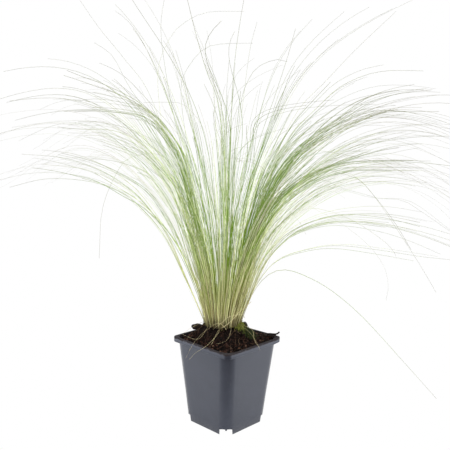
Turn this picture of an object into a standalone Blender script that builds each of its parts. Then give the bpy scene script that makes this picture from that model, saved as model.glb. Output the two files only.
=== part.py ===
"""Mexican feather grass (Nassella tenuissima) growing in its square nursery pot.

Metres, +Z up. The pot stands on z = 0 with its axis on Z and its faces along X and Y. The grass is a
tussock of tufts, each a node of its own: a short bundle of sheaths with thread-like blades standing
out of it. Every blade follows one fountain-shaped rule, so that no tuft crosses another.
"""

import math
import random

import bmesh
import bpy
from mathutils import Matrix, Vector
from mathutils.bvhtree import BVHTree

MM = 0.001
GAP = 0.3 * MM  # clearance between pieces that touch

# Pot: a thin injection-moulded square pot, narrower at the foot, with a turned-down lip.
POT_HEIGHT = 100 * MM
RIM_WIDTH, RIM_CORNER = 90 * MM, 6 * MM
WALL_TOP_WIDTH, WALL_TOP_CORNER = 87 * MM, 13.5 * MM
FOOT_WIDTH, FOOT_CORNER = 67.6 * MM, 12 * MM
WALL = 1.1 * MM
FLOOR = 1.4 * MM
LIP_HEIGHT, LIP_THICKNESS = 5.6 * MM, 1.0 * MM
EDGE_ROUND = 0.4 * MM
CORNER_POINTS = 6
CORNER_REACH = (FOOT_WIDTH / 2 - FOOT_CORNER) * math.sqrt(2) + FOOT_CORNER
NOTCH_WIDTH, NOTCH_DEPTH, NOTCH_HEIGHT = 14.6 * MM, 15 * MM, 7.5 * MM
NOTCH_INNER = CORNER_REACH - NOTCH_DEPTH
NOTCH_RIB_WIDTH, NOTCH_RIB_HEIGHT = 2 * MM, 1.6 * MM
DRAIN_WIDTH = 6 * MM
CUT = 5 * MM  # how far a cutter reaches past what it cuts

# Soil: fills the pot to just under the rim and is mounded round the crown of the grass.
SOIL_EDGE_DROP = 2.8 * MM
CROWN_X, CROWN_Y = -6.4 * MM, -0.5 * MM
CROWN_Z = 112.5 * MM
CROWN_RADIUS = 20.5 * MM
MOUND_TOP = CROWN_Z + 0.3 * MM
MOUND_POWER = 2.6
PIT_DEPTH = 28 * MM
SOIL_RINGS, SOIL_SIDES = 7, 28
SOIL_RELIEF, SOIL_LUMP = 1.4 * MM, 17 * MM

# What lies on the soil: name, azimuth from the crown, distance, length, width, height, corners, turn.
CHIPS = (
    ("bark_chip_left", 207, 31.8, 16, 8, 8, 15, 44),
    ("bark_chip_crown", 69, 28.6, 12, 7, 8, 14, 150),
    ("bark_chip_right", 46.3, 48.7, 8, 6, 4.5, 13, 20),
)
MOSS_AZIMUTH, MOSS_DISTANCE = math.radians(30), 30.5 * MM
MOSS_RADIUS, MOSS_HEIGHT = 6.6 * MM, 4.5 * MM
MOSS_RINGS, MOSS_SIDES = 3, 10

# Grass: tufts in rings round the middle one (number, radius and blades in each tuft), and the fountain
# that their blades follow. Blades near the middle are shorter and stand straighter for longer; all of
# them gather into two lobes, and the plant leans and reaches further to one of them.
TUFT_RINGS = ((1, 0.0, 8), (6, 7.9 * MM, 12), (12, 15.9 * MM, 24))
TUFT_SHIFT = 0.8 * MM
CELL_INSET = 0.25 * MM
BLADE_ROOT_RADIUS, BLADE_TIP_RADIUS = 0.52 * MM, 0.41 * MM
BLADE_SINK = 7 * MM
BLADE_LONGEST, BLADE_SHORTEST = 438 * MM, 180 * MM
MIDDLE_SHORTER = 62 * MM
STATIONS = tuple(s * MM for s in (0, 90, 165, 235, 315, 430))
CROWN_TILT = math.radians(20)
ARCH_TILT, ARCH_POWER, ARCH_BEND = math.radians(100), 0.5, 3.0
ARCH_RISE_EDGE, ARCH_RISE_MIDDLE = 155 * MM, 225 * MM
LEAN_AZIMUTH = math.radians(44)
LEAN_WAY = Vector((math.cos(LEAN_AZIMUTH), math.sin(LEAN_AZIMUTH)))
LEAN_TILT, LEAN_RISE, LEAN_LENGTH = 0.03, 0.05, 0.05
SWAY, SWAY_LENGTH = 20 * MM, 480 * MM
GATHER, GATHER_RISE = 0.25, 200 * MM
LOBE_PULL, LEAN_PULL, LOBE_RISE = 0.6, 0.2, 120 * MM

# Dead blades that bow out of the crown over the soil and the rim: azimuth of the root, then the tip's
# azimuth and reach from the pot's axis, the tip's height and how far the bow lies above the root.
FALLEN_BLADES = (
    (-75, -95, 60 * MM, 87 * MM, -9 * MM),
    (-52, -72, 39 * MM, 102 * MM, -12 * MM),
    (-140, -134, 50 * MM, 104 * MM, -10 * MM),
    (8, 1, 50.5 * MM, 96 * MM, -4 * MM),
)
FALLEN_BOW = 0.68  # how far along the way to the tip a fallen blade bows

# Blades that hang lower than the rest: azimuth of the root and of the tip, then how far out from the
# crown and how high they pass, in mm.
STRAY_BLADES = (
    (40, 46, ((33, 150), (50, 173), (70, 180), (96, 172), (126, 155), (164, 123), (216, 68), (257, 24))),
    (54, 40, ((34, 152), (60, 188), (98, 203), (133, 208), (181, 204), (226, 199), (274, 197))),
    (128, 140, ((35, 156), (64, 192), (110, 203), (160, 186), (205, 150))),
    (34, 37, ((43, 180), (68, 215), (96, 232), (130, 240), (175, 237), (215, 228), (255, 214))),
    (62, 60, ((42, 178), (66, 209), (92, 226), (124, 236), (165, 240), (212, 238), (262, 229))),
    (218, 212, ((44, 166), (67, 216), (94, 252), (118, 272), (151, 289), (196, 301), (251, 304))),
    (238, 250, ((45, 170), (71, 222), (104, 260), (128, 276), (160, 287), (205, 291), (245, 284))),
)

SEED = 41


def clear_scene():
    for thing in list(bpy.data.objects):
        bpy.data.objects.remove(thing, do_unlink=True)


def finish(name, colour, roughness):
    material = bpy.data.materials.new(name)
    material.use_nodes = True
    shader = material.node_tree.nodes["Principled BSDF"]
    shader.inputs["Base Color"].default_value = (*colour, 1.0)
    shader.inputs["Roughness"].default_value = roughness
    shader.inputs["Metallic"].default_value = 0.0
    return material


def add_object(name, bm, material):
    """Turns a bmesh into an object with triangles that face out."""
    bmesh.ops.recalc_face_normals(bm, faces=bm.faces)
    bmesh.ops.triangulate(bm, faces=bm.faces)
    mesh = bpy.data.meshes.new(name)
    bm.to_mesh(mesh)
    bm.free()
    if material:
        mesh.materials.append(material)
    thing = bpy.data.objects.new(name, mesh)
    bpy.context.scene.collection.objects.link(thing)
    return thing


def skin(bm, loops):
    """Bridges loops of equally many points, one after another, and caps both ends."""
    rings = [[bm.verts.new(point) for point in loop] for loop in loops]
    for low, high in zip(rings, rings[1:]):
        for i, corner in enumerate(low):
            j = (i + 1) % len(low)
            bm.faces.new((corner, low[j], high[j], high[i]))
    bm.faces.new(rings[0])
    bm.faces.new(rings[-1])
    return rings


def combine(target, tool, operation):
    """Applies a Boolean with an object or a whole collection, then removes what it used."""
    modifier = target.modifiers.new("combine", "BOOLEAN")
    modifier.operation = operation
    modifier.solver = "EXACT"
    if isinstance(tool, bpy.types.Collection):
        modifier.operand_type = "COLLECTION"
        modifier.collection = tool
        used = list(tool.objects)
    else:
        modifier.object = tool
        used = [tool]
    for thing in used:
        thing.hide_render = True
        thing.display_type = "WIRE"
    evaluated = target.evaluated_get(bpy.context.evaluated_depsgraph_get())
    result = bpy.data.meshes.new_from_object(evaluated)
    target.modifiers.clear()
    target.data = result
    result.name = target.name
    for thing in used:
        bpy.data.objects.remove(thing, do_unlink=True)
    if isinstance(tool, bpy.types.Collection):
        bpy.data.collections.remove(tool)


def move_to(collection, thing):
    bpy.context.scene.collection.objects.unlink(thing)
    collection.objects.link(thing)


def rounded_square(width, corner, z):
    """Points round a square with round corners, seen from above, anticlockwise."""
    points = []
    centre = width / 2 - corner
    for quarter in range(4):
        turn = quarter * math.pi / 2
        for step in range(CORNER_POINTS):
            angle = turn + step / (CORNER_POINTS - 1) * math.pi / 2
            middle = turn + math.pi / 4
            x = centre * math.sqrt(2) * math.cos(middle) + corner * math.cos(angle)
            y = centre * math.sqrt(2) * math.sin(middle) + corner * math.sin(angle)
            points.append(Vector((x, y, z)))
    return points


def wall_loop(z, inset):
    """The pot's outer wall at a height, moved inwards by inset."""
    share = z / POT_HEIGHT
    width = FOOT_WIDTH + (WALL_TOP_WIDTH - FOOT_WIDTH) * share
    corner = FOOT_CORNER + (WALL_TOP_CORNER - FOOT_CORNER) * share
    return rounded_square(width - 2 * inset, corner - inset, z)


def lip_loop(z, inset):
    return rounded_square(RIM_WIDTH - 2 * inset, RIM_CORNER - inset * 0.8, z)


def diagonal_block(profile, inner, outer, turn):
    """A bar with a profile of (across, height) points that runs outwards under one corner."""
    loops = []
    for reach in (inner, outer):
        loop = []
        for across, z in profile:
            x = reach * math.cos(turn) - across * math.sin(turn)
            y = reach * math.sin(turn) + across * math.cos(turn)
            loop.append(Vector((x, y, z)))
        loops.append(loop)
    bm = bmesh.new()
    skin(bm, loops)
    return add_object("diagonal_block", bm, None)


def corner_cutters(profile, inner, outer):
    """The same block under each of the four corners, in a collection of their own."""
    cutters = bpy.data.collections.new("corner_cutters")
    for quarter in range(4):
        move_to(cutters, diagonal_block(profile, inner, outer, math.pi / 4 + quarter * math.pi / 2))
    return cutters


def recess_blocks(margin):
    """What the corner recesses take from a solid, grown by margin."""
    half, high = NOTCH_WIDTH / 2 + margin, NOTCH_HEIGHT + margin
    profile = ((-half, -CUT), (half, -CUT), (half, high), (-half, high))
    return corner_cutters(profile, NOTCH_INNER - margin, CORNER_REACH + CUT)


def ribbed_recess_blocks():
    """The recesses with a low rib left along the middle of each one's roof."""
    half, rib = NOTCH_WIDTH / 2, NOTCH_RIB_WIDTH / 2
    low = NOTCH_HEIGHT - NOTCH_RIB_HEIGHT
    profile = (
        (-half, -CUT),
        (half, -CUT),
        (half, NOTCH_HEIGHT),
        (rib, NOTCH_HEIGHT),
        (rib, low),
        (-rib, low),
        (-rib, NOTCH_HEIGHT),
        (-half, NOTCH_HEIGHT),
    )
    return corner_cutters(profile, NOTCH_INNER, CORNER_REACH + CUT)


def drain_slots():
    """A slot through the back wall of each recess."""
    half, low, high = DRAIN_WIDTH / 2, FLOOR + 0.6 * MM, NOTCH_HEIGHT - NOTCH_RIB_HEIGHT - 0.6 * MM
    profile = ((-half, low), (half, low), (half, high), (-half, high))
    return corner_cutters(profile, NOTCH_INNER - 2 * FLOOR, NOTCH_INNER + FLOOR)


def make_pot(material):
    """The outside with its lip and corner recesses, less the hollow that the soil fills."""
    lip_foot = POT_HEIGHT - LIP_HEIGHT
    under_lip = POT_HEIGHT - LIP_THICKNESS
    bm = bmesh.new()
    skin(
        bm,
        [
            wall_loop(0.0, 0.0),
            wall_loop(under_lip, 0.0),
            lip_loop(under_lip, LIP_THICKNESS),
            lip_loop(lip_foot, LIP_THICKNESS),
            lip_loop(lip_foot, 0.0),
            lip_loop(POT_HEIGHT - EDGE_ROUND, 0.0),
            lip_loop(POT_HEIGHT, EDGE_ROUND),
        ],
    )
    pot = add_object("pot", bm, material)
    combine(pot, ribbed_recess_blocks(), "DIFFERENCE")
    bm = bmesh.new()
    skin(bm, [wall_loop(FLOOR, WALL), wall_loop(POT_HEIGHT + CUT, WALL)])
    hollow = add_object("hollow", bm, None)
    combine(hollow, recess_blocks(FLOOR), "DIFFERENCE")
    combine(pot, hollow, "DIFFERENCE")
    combine(pot, drain_slots(), "DIFFERENCE")
    pot.data.shade_smooth()
    pot.data.set_sharp_from_angle(angle=math.radians(35))
    return pot


def lumps(x, y, length):
    """A smooth uneven surface between about -1 and 1, the same each time."""
    u, v = x / length * 2 * math.pi, y / length * 2 * math.pi
    broad = math.sin(u + 0.8 * v + 0.4) * math.cos(v - 0.5 * u + 1.1)
    fine = math.sin(2.3 * u - 1.7 * v + 2.0) * math.cos(1.9 * v + 1.4 * u)
    return 0.6 * broad + 0.4 * fine


def soil_height(point, share):
    """The surface from the crown (share 0) to the pot's wall (share 1), with lumps."""
    edge = POT_HEIGHT - SOIL_EDGE_DROP
    mound = (MOUND_TOP - edge) * (1 - share) ** MOUND_POWER
    return edge + mound + SOIL_RELIEF * lumps(point.x, point.y, SOIL_LUMP)


def square_reach(angle, half, corner):
    """How far a square with round corners reaches from its centre at an angle."""
    long, short = sorted((abs(math.cos(angle)), abs(math.sin(angle))), reverse=True)
    straight = half - corner
    if half * short / long <= straight:
        return half / long
    along = straight * (long + short)
    return along + math.sqrt(along**2 - 2 * straight**2 + corner**2)


def soil_wall(z, share=1.0):
    """The soil's outline at a height: a gap inside the pot, or part of the way in to the crown's pit."""
    inset = WALL + GAP
    rise = z / POT_HEIGHT
    half = (FOOT_WIDTH + (WALL_TOP_WIDTH - FOOT_WIDTH) * rise) / 2 - inset
    corner = FOOT_CORNER + (WALL_TOP_CORNER - FOOT_CORNER) * rise - inset
    points = []
    for side in range(SOIL_SIDES):
        angle = (side + 0.5) / SOIL_SIDES * 2 * math.pi
        way = Vector((math.cos(angle), math.sin(angle), 0.0))
        pit = Vector((CROWN_X, CROWN_Y, 0.0)) + way * (CROWN_RADIUS + 2 * GAP)
        point = pit.lerp(way * square_reach(angle, half, corner), share)
        point.z = z
        points.append(point)
    return points


def make_soil(material):
    """One block of peat: walls a gap inside the pot, a rough top and a plain pit for the crown."""
    edge_z = POT_HEIGHT - SOIL_EDGE_DROP
    loops = [soil_wall(FLOOR + GAP)]
    for ring in range(SOIL_RINGS):
        share = 1 - ring / (SOIL_RINGS - 1)
        loop = soil_wall(edge_z, share**0.85)
        for point in loop:
            point.z = soil_height(point, share)
        loops.append(loop)
    loops.append(soil_wall(CROWN_Z - PIT_DEPTH, 0.0))
    bm = bmesh.new()
    skin(bm, loops)
    soil = add_object("soil", bm, material)
    combine(soil, recess_blocks(FLOOR + GAP), "DIFFERENCE")
    return soil


def clip(polygon, normal, limit):
    """The part of a convex polygon where point . normal is at most limit."""
    kept = []
    for a, b in zip(polygon, polygon[1:] + polygon[:1]):
        over_a, over_b = a.dot(normal) - limit, b.dot(normal) - limit
        if over_a <= 0:
            kept.append(a)
        if over_a * over_b < 0:
            kept.append(a.lerp(b, over_a / (over_a - over_b)))
    return kept


def thinned(polygon, least):
    """The polygon without points that lie closer than least to the one before."""
    kept = []
    for i, point in enumerate(polygon):
        if (point - polygon[i - 1]).length > least:
            kept.append(point)
    return kept


def tuft_sites(rng):
    sites = []
    for number, radius, _ in TUFT_RINGS:
        for k in range(number):
            angle = (k + 0.5 * (number > 6)) / number * 2 * math.pi + rng.uniform(-0.06, 0.06)
            far = radius + rng.uniform(-TUFT_SHIFT, TUFT_SHIFT)
            sites.append(Vector((far * math.cos(angle), far * math.sin(angle))))
    return sites


def cell(sites, k, inset):
    """What lies nearer to one site than to the others, in the crown's circle, drawn in by inset."""
    reach = CROWN_RADIUS - inset
    polygon = [
        Vector((reach * math.cos(a), reach * math.sin(a)))
        for a in (i / 28 * 2 * math.pi for i in range(28))
    ]
    for other, site in enumerate(sites):
        if other != k:
            apart = site - sites[k]
            normal = apart.normalized()
            polygon = clip(polygon, normal, normal.dot((site + sites[k]) / 2) - inset)
    return thinned(polygon, 0.6 * MM)


def inside(polygon, point):
    for a, b in zip(polygon, polygon[1:] + polygon[:1]):
        if (b.x - a.x) * (point.y - a.y) - (b.y - a.y) * (point.x - a.x) < 0:
            return False
    return True


def spread_points(polygon, number, rng):
    """Points spread evenly in a polygon: each is the best of several draws."""
    low_x, high_x = min(p.x for p in polygon), max(p.x for p in polygon)
    low_y, high_y = min(p.y for p in polygon), max(p.y for p in polygon)
    points = []
    while len(points) < number:
        draws = []
        while len(draws) < 24:
            draw = Vector((rng.uniform(low_x, high_x), rng.uniform(low_y, high_y)))
            if inside(polygon, draw):
                draws.append(draw)
        points.append(max(draws, key=lambda d: min([(d - p).length for p in points] or [1.0])))
    return points


def tilt(share, azimuth, s):
    """A blade's angle from the vertical at arc length s. It grows with s and towards the edge."""
    lean = math.cos(azimuth - LEAN_AZIMUTH)
    rise = (ARCH_RISE_EDGE + ARCH_RISE_MIDDLE * math.sqrt(1 - share)) * (1 - LEAN_RISE * (1 + lean))
    bent = 1 - math.exp(-((s / rise) ** ARCH_BEND))
    return CROWN_TILT * share**2 + ARCH_TILT * (1 + LEAN_TILT * lean) * share**ARCH_POWER * bent


def heading(azimuth, s):
    """The way that a blade points: it turns to one of two lobes as it rises, more to the leaning side."""
    turn = azimuth - LEAN_AZIMUTH
    risen = 1 - math.exp(-((s / LOBE_RISE) ** 2))
    return azimuth - risen * (LOBE_PULL / 2 * math.sin(2 * turn) + LEAN_PULL * math.sin(turn))


def sway(point, s):
    """A smooth push that grows along the blades and turns the fountain's even spread uneven."""
    x, y, z = (point / SWAY_LENGTH * 2 * math.pi)[:]
    push = Vector(
        (
            math.sin(y + 0.7 * z + 0.3) + 0.5 * math.sin(1.9 * y - 1.3 * x + 2.2),
            math.sin(x - 0.8 * z + 1.9) + 0.5 * math.sin(1.7 * x + 1.5 * z + 0.6),
            0.7 * math.sin(x + y + 4.1),
        )
    )
    return push * SWAY * (s / (300 * MM)) ** 1.3


def fountain(root, s):
    """Where arc length s of the blade through a point of the crown lies."""
    radius = root.length
    azimuth = math.atan2(root.y, root.x)
    share = min(radius / CROWN_RADIUS, 1.0)
    steps = max(1, math.ceil(s / (8 * MM)))
    out, up = radius, 0.0
    for i in range(steps):
        angle = tilt(share, azimuth, (i + 0.5) / steps * s)
        out += math.sin(angle) * s / steps
        up += math.cos(angle) * s / steps
    way = heading(azimuth, s)
    point = Vector((CROWN_X + out * math.cos(way), CROWN_Y + out * math.sin(way), CROWN_Z + up))
    return point + sway(point, s)


def tube(name, path, radii, spin):
    """A three-sided blade along a path, closed at both ends and turned about itself by spin."""
    loops = []
    side = Vector((math.cos(spin), math.sin(spin), 0.0))
    for i, point in enumerate(path):
        along = (path[min(i + 1, len(path) - 1)] - path[max(i - 1, 0)]).normalized()
        side = (side - along * side.dot(along)).normalized()
        other = along.cross(side)
        loop = []
        for k in range(3):
            angle = k / 3 * 2 * math.pi
            loop.append(point + (side * math.cos(angle) + other * math.sin(angle)) * radii[i])
        loops.append(loop)
    bm = bmesh.new()
    skin(bm, loops)
    return add_object(name, bm, None)


def blade_path(root, centre, start, length):
    """Points of one blade. It draws in a little towards its tuft's middle as it rises."""
    points = []
    for s in STATIONS:
        gathered = root.lerp(centre, GATHER * min(1.0, s / GATHER_RISE))
        points.append(fountain(gathered, s))
    path = [points[0].lerp(points[1], start / STATIONS[1])]
    for k in range(1, len(STATIONS)):
        if length >= STATIONS[k]:
            path.append(points[k])
        else:
            share = (length - STATIONS[k - 1]) / (STATIONS[k] - STATIONS[k - 1])
            if share > 0.15:
                path.append(points[k - 1].lerp(points[k], share))
            break
    return path


def blade(path, spin):
    last = len(path) - 1
    slim = BLADE_ROOT_RADIUS - BLADE_TIP_RADIUS
    return tube("blade", path, [BLADE_ROOT_RADIUS - slim * i / last for i in range(last + 1)], spin)


def fallen_path(root, start, tip_azimuth, tip_reach, tip_z, rise):
    """A dead blade that bows out of the core over the soil, clears the rim and hangs to its tip."""
    foot = fountain(root, 0.0).lerp(fountain(root, STATIONS[1]), start / STATIONS[1])
    far = math.radians(tip_azimuth)
    tip = Vector((tip_reach * math.cos(far), tip_reach * math.sin(far), tip_z))
    bow = foot.lerp(tip, FALLEN_BOW)
    bow.z = foot.z + rise
    path = []
    for step in range(7):
        t = step / 6
        path.append(foot * (1 - t) ** 2 + bow * 2 * t * (1 - t) + tip * t**2)
    return path


def stray_path(root, start, root_azimuth, tip_azimuth, passed):
    """A blade that leaves the core with the others and then follows its own low arch."""
    path = [fountain(root, 0.0).lerp(fountain(root, STATIONS[1]), start / STATIONS[1])]
    for k, (out, z) in enumerate(passed):
        turn = math.radians(root_azimuth + (tip_azimuth - root_azimuth) * (k + 1) / len(passed))
        reach = out * MM
        path.append(Vector((CROWN_X + reach * math.cos(turn), CROWN_Y + reach * math.sin(turn), z * MM)))
    return path


def sheath_core(name, outline, top, material):
    """The bundle of leaf sheaths that a tuft's blades stand out of, from the pit to above the soil."""
    foot_z = CROWN_Z - PIT_DEPTH + GAP
    feet = [fountain(point, 0.0) for point in outline]
    ends = [fountain(point, STATIONS[1]) for point in outline]
    tops = [p.lerp(q, top / (q.z - p.z)) for p, q in zip(feet, ends)]
    bm = bmesh.new()
    skin(bm, [[Vector((p.x, p.y, foot_z)) for p in feet], feet, tops])
    return add_object(name, bm, material)


def blades_of(k):
    """How many blades the tuft of that number has."""
    for number, _, blades in TUFT_RINGS:
        if k < number:
            return blades
        k -= number


def edge_root(azimuth):
    """A point of the crown just inside its edge."""
    angle = math.radians(azimuth)
    return Vector((math.cos(angle), math.sin(angle))) * (CROWN_RADIUS - 1.6 * MM)


def nearest(sites, root):
    return min(range(len(sites)), key=lambda i: (sites[i] - root).length)


def make_tuft(number, sites, k, rng, material):
    """One tuft: a core and its blades, joined into one solid by a union."""
    centre = sites[k]
    top = rng.uniform(11, 20) * MM
    core = sheath_core(f"tuft_{number:02d}", cell(sites, k, CELL_INSET), top, material)
    room = cell(sites, k, CELL_INSET + BLADE_ROOT_RADIUS + 0.2 * MM)
    blades = bpy.data.collections.new("blades")
    for root in spread_points(room, blades_of(k), rng):
        longest = BLADE_LONGEST - MIDDLE_SHORTER * (1 - root.length / CROWN_RADIUS)
        longest *= 1 + LEAN_LENGTH * root.normalized().dot(LEAN_WAY)
        length = longest - (longest - BLADE_SHORTEST) * rng.random() ** 1.1
        path = blade_path(root, centre, top - BLADE_SINK, length)
        move_to(blades, blade(path, rng.uniform(0, 2)))
    start = top - BLADE_SINK
    for azimuth, *tip in FALLEN_BLADES:
        root = edge_root(azimuth)
        if nearest(sites, root) == k:
            move_to(blades, blade(fallen_path(root, start, *tip), 0.5))
    for azimuth, tip_azimuth, passed in STRAY_BLADES:
        root = edge_root(azimuth)
        if nearest(sites, root) == k:
            move_to(blades, blade(stray_path(root, start, azimuth, tip_azimuth, passed), 0.5))
    combine(core, blades, "UNION")
    return core


def rest_on(bm, ground):
    """Lowers or lifts a piece until it lies a gap above the ground's facets and corners."""
    tree = BVHTree.FromBMesh(bm)
    below = BVHTree.FromBMesh(ground)
    down, up = Vector((0, 0, -1)), Vector((0, 0, 1))
    rooms = []
    spots = [v.co for v in bm.verts] + [(e.verts[0].co + e.verts[1].co) / 2 for e in bm.edges]
    for spot in spots:
        high = Vector((spot.x, spot.y, 1.0))
        hit = below.ray_cast(high, down)[0]
        if hit:
            rooms.append(spot.z - hit.z)
    for vert in ground.verts:
        hit = tree.ray_cast(Vector((vert.co.x, vert.co.y, -1.0)), up)[0]
        if hit and vert.co.z > POT_HEIGHT / 2:
            rooms.append(hit.z - vert.co.z)
    bmesh.ops.translate(bm, verts=bm.verts, vec=(0, 0, GAP - min(rooms)))


def make_chip(spec, ground, rng, material):
    """A broken piece of bark: the hull of points drawn on an egg shape, lying on the soil."""
    name, azimuth, distance, length, width, height, corners, turn = spec
    bm = bmesh.new()
    for k in range(corners):
        up = 1 - 2 * (k + 0.5) / corners
        round_ = k * 2.4 + rng.uniform(-0.4, 0.4)
        flat = math.sqrt(1 - up * up) * rng.uniform(0.85, 1.0)
        bm.verts.new(
            (
                math.cos(round_) * flat * length / 2 * MM,
                math.sin(round_) * flat * width / 2 * MM,
                up * height / 2 * MM,
            )
        )
    hull = bmesh.ops.convex_hull(bm, input=bm.verts)
    bmesh.ops.delete(bm, geom=hull["geom_interior"], context="VERTS")
    far, turn = math.radians(azimuth), math.radians(turn)
    bmesh.ops.rotate(bm, verts=bm.verts, matrix=Matrix.Rotation(turn, 3, "Z"))
    place = (CROWN_X + distance * MM * math.cos(far), CROWN_Y + distance * MM * math.sin(far), CROWN_Z)
    bmesh.ops.translate(bm, verts=bm.verts, vec=place)
    rest_on(bm, ground)
    return add_object(name, bm, material)


def make_moss(ground, material):
    """A cushion of moss beside the crown, domed and knobbly, its underside close to the soil."""
    below = BVHTree.FromBMesh(ground)
    middle = Vector(
        (
            CROWN_X + MOSS_DISTANCE * math.cos(MOSS_AZIMUTH),
            CROWN_Y + MOSS_DISTANCE * math.sin(MOSS_AZIMUTH),
            0.0,
        )
    )
    tops, bottoms = [], []
    for ring in range(MOSS_RINGS):
        share = 1 - ring / MOSS_RINGS
        top, bottom = [], []
        for side in range(MOSS_SIDES):
            angle = side / MOSS_SIDES * 2 * math.pi
            radius = MOSS_RADIUS * share * (1 + 0.12 * math.sin(3 * angle + 1) + 0.08 * math.sin(5 * angle))
            spot = middle + Vector((radius * math.cos(angle), radius * math.sin(angle), 0.0))
            soil_z = below.ray_cast(Vector((spot.x, spot.y, 1.0)), Vector((0, 0, -1)))[0].z
            rise = 1 * MM + MOSS_HEIGHT * (1 - share**2) * (1 + 0.2 * (-1) ** (side + ring))
            top.append(Vector((spot.x, spot.y, soil_z + rise)))
            bottom.append(Vector((spot.x, spot.y, soil_z)))
        tops.append(top)
        bottoms.append(bottom)
    bm = bmesh.new()
    skin(bm, bottoms[::-1] + tops)
    rest_on(bm, ground)
    return add_object("moss_cushion", bm, material)


def main():
    clear_scene()
    plastic = finish("satin_black_plastic", (0.055, 0.056, 0.065), 0.42)
    peat = finish("dark_peat", (0.02, 0.014, 0.011), 0.95)
    bark = finish("dark_bark", (0.03, 0.018, 0.012), 0.9)
    moss = finish("green_moss", (0.12, 0.13, 0.05), 0.9)
    leaf = finish("green_blade", (0.36, 0.45, 0.2), 0.6)
    make_pot(plastic)
    soil = make_soil(peat)
    rng = random.Random(SEED)
    sites = tuft_sites(rng)
    for k in range(len(sites)):
        make_tuft(k + 1, sites, k, rng, leaf)
    ground = bmesh.new()
    ground.from_mesh(soil.data)
    for spec in CHIPS:
        make_chip(spec, ground, rng, bark)
    make_moss(ground, moss)
    ground.free()


main()
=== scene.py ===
"""Mexican feather grass in its square nursery pot: every surface as it is finished.

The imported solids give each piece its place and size. The tussock is drawn again in thin, tapered blades:
those of the solids, which follow the same fountain, and with them finer companions, sheaths round the
foot, locks, single hairs and dead straws. The pot, the peat, the bark and the moss get the relief that
they have from close by. Metres, +Z up, the pot's axis on Z.
"""

import math
import random

import bmesh
import bpy
import numpy as np
from mathutils import Matrix, Vector


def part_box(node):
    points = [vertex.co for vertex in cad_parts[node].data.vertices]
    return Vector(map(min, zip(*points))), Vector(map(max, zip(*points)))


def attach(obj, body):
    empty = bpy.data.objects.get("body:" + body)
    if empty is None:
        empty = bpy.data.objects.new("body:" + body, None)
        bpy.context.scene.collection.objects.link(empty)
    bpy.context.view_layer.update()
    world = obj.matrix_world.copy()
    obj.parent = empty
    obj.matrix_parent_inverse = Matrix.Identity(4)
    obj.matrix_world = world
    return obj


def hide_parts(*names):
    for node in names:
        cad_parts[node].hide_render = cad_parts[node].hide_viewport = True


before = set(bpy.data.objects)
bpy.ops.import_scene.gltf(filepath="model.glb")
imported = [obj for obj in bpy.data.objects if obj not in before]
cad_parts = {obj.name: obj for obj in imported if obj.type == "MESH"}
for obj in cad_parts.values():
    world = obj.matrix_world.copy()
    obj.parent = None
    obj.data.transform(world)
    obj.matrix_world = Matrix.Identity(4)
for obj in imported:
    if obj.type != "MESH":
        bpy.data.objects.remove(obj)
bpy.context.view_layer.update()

MM = 0.001

# Pot
POT_HEIGHT = 100 * MM
RIM_WIDTH, RIM_CORNER = 90 * MM, 6 * MM
WALL_TOP_WIDTH, WALL_TOP_CORNER = 87 * MM, 13.5 * MM
FOOT_WIDTH, FOOT_CORNER = 67.6 * MM, 12 * MM
WALL, FLOOR = 1.1 * MM, 1.4 * MM
LIP_HEIGHT, LIP_THICKNESS = 5.6 * MM, 1.0 * MM
NOTCH_WIDTH, NOTCH_DEPTH, NOTCH_HEIGHT = 14.6 * MM, 15 * MM, 7.5 * MM
NOTCH_RIB_WIDTH, NOTCH_RIB_HEIGHT = 2 * MM, 1.6 * MM
CORNER_REACH = (FOOT_WIDTH / 2 - FOOT_CORNER) * math.sqrt(2) + FOOT_CORNER
NOTCH_INNER = CORNER_REACH - NOTCH_DEPTH
DRAIN_WIDTH, DRAIN_EDGE = 6 * MM, 0.6 * MM
MOUTH_DEPTH = 0.6 * MM
CUT = 5 * MM
GAP = 0.3 * MM
EDGE_ROUND, LIP_FOOT_ROUND, LIP_TOP_ROUND = 0.5 * MM, 0.25 * MM, 0.15 * MM
POT_CORNER_POINTS, POT_SIDE_POINTS, POT_WALL_RINGS = 15, 8, 10
WALL_BOW, BOW_SPAN = 0.5 * MM, 30 * MM
LIP_SHARE = 0.93
BENT_CORNER, BENT_REACH, BENT_LIFT = (44 * MM, 44 * MM), 9 * MM, 1.1 * MM
POT_CREASE = math.radians(32)

# Soil
SOIL_EDGE_DROP = 2.8 * MM
CROWN_X, CROWN_Y, CROWN_Z = -6.4 * MM, -0.5 * MM, 112.5 * MM
CROWN_RADIUS = 20.5 * MM
MOUND_TOP, MOUND_POWER = CROWN_Z + 0.3 * MM, 2.6
SOIL_RELIEF, SOIL_LUMP, SOIL_FILL = 1.4 * MM, 17 * MM, 0.3 * MM
SOIL_SIDES, SOIL_TOP_RINGS = 180, 44
ROUGH_LUMP, ROUGH_GRAIN = 3.1 * MM, 1.5 * MM
SCATTER_EDGE, SCATTER_SHARE = 1.2 * MM, 0.985
CRUMBS, CRUMB_LEAST, CRUMB_MORE = 2600, 0.45 * MM, 1.5 * MM
FIBRES, FIBRE_POINTS, FIBRE_RADIUS, SCRAP_RADIUS = 200, 8, 0.13 * MM, 1.1 * MM
CHIP_CUTS, CHIP_LAYER, CHIP_BREAK, CHIP_CREASE = 5, 1.3 * MM, 1.7 * MM, math.radians(40)
MOSS_SHOOTS, MOSS_CLIMBING, MOSS_STRAY_SHARE, MOSS_STRAY_REACH = 1700, 450, 0.15, 1.4
MOSS_DOME, MOSS_CLIMB, MOSS_AZIMUTH, MOSS_SPREAD = 3.6 * MM, 6 * MM, math.radians(28), 0.24
MOSS_NEAR, MOSS_FADE, MOSS_SINK = 8 * MM, 6 * MM, 0.8 * MM

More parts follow.
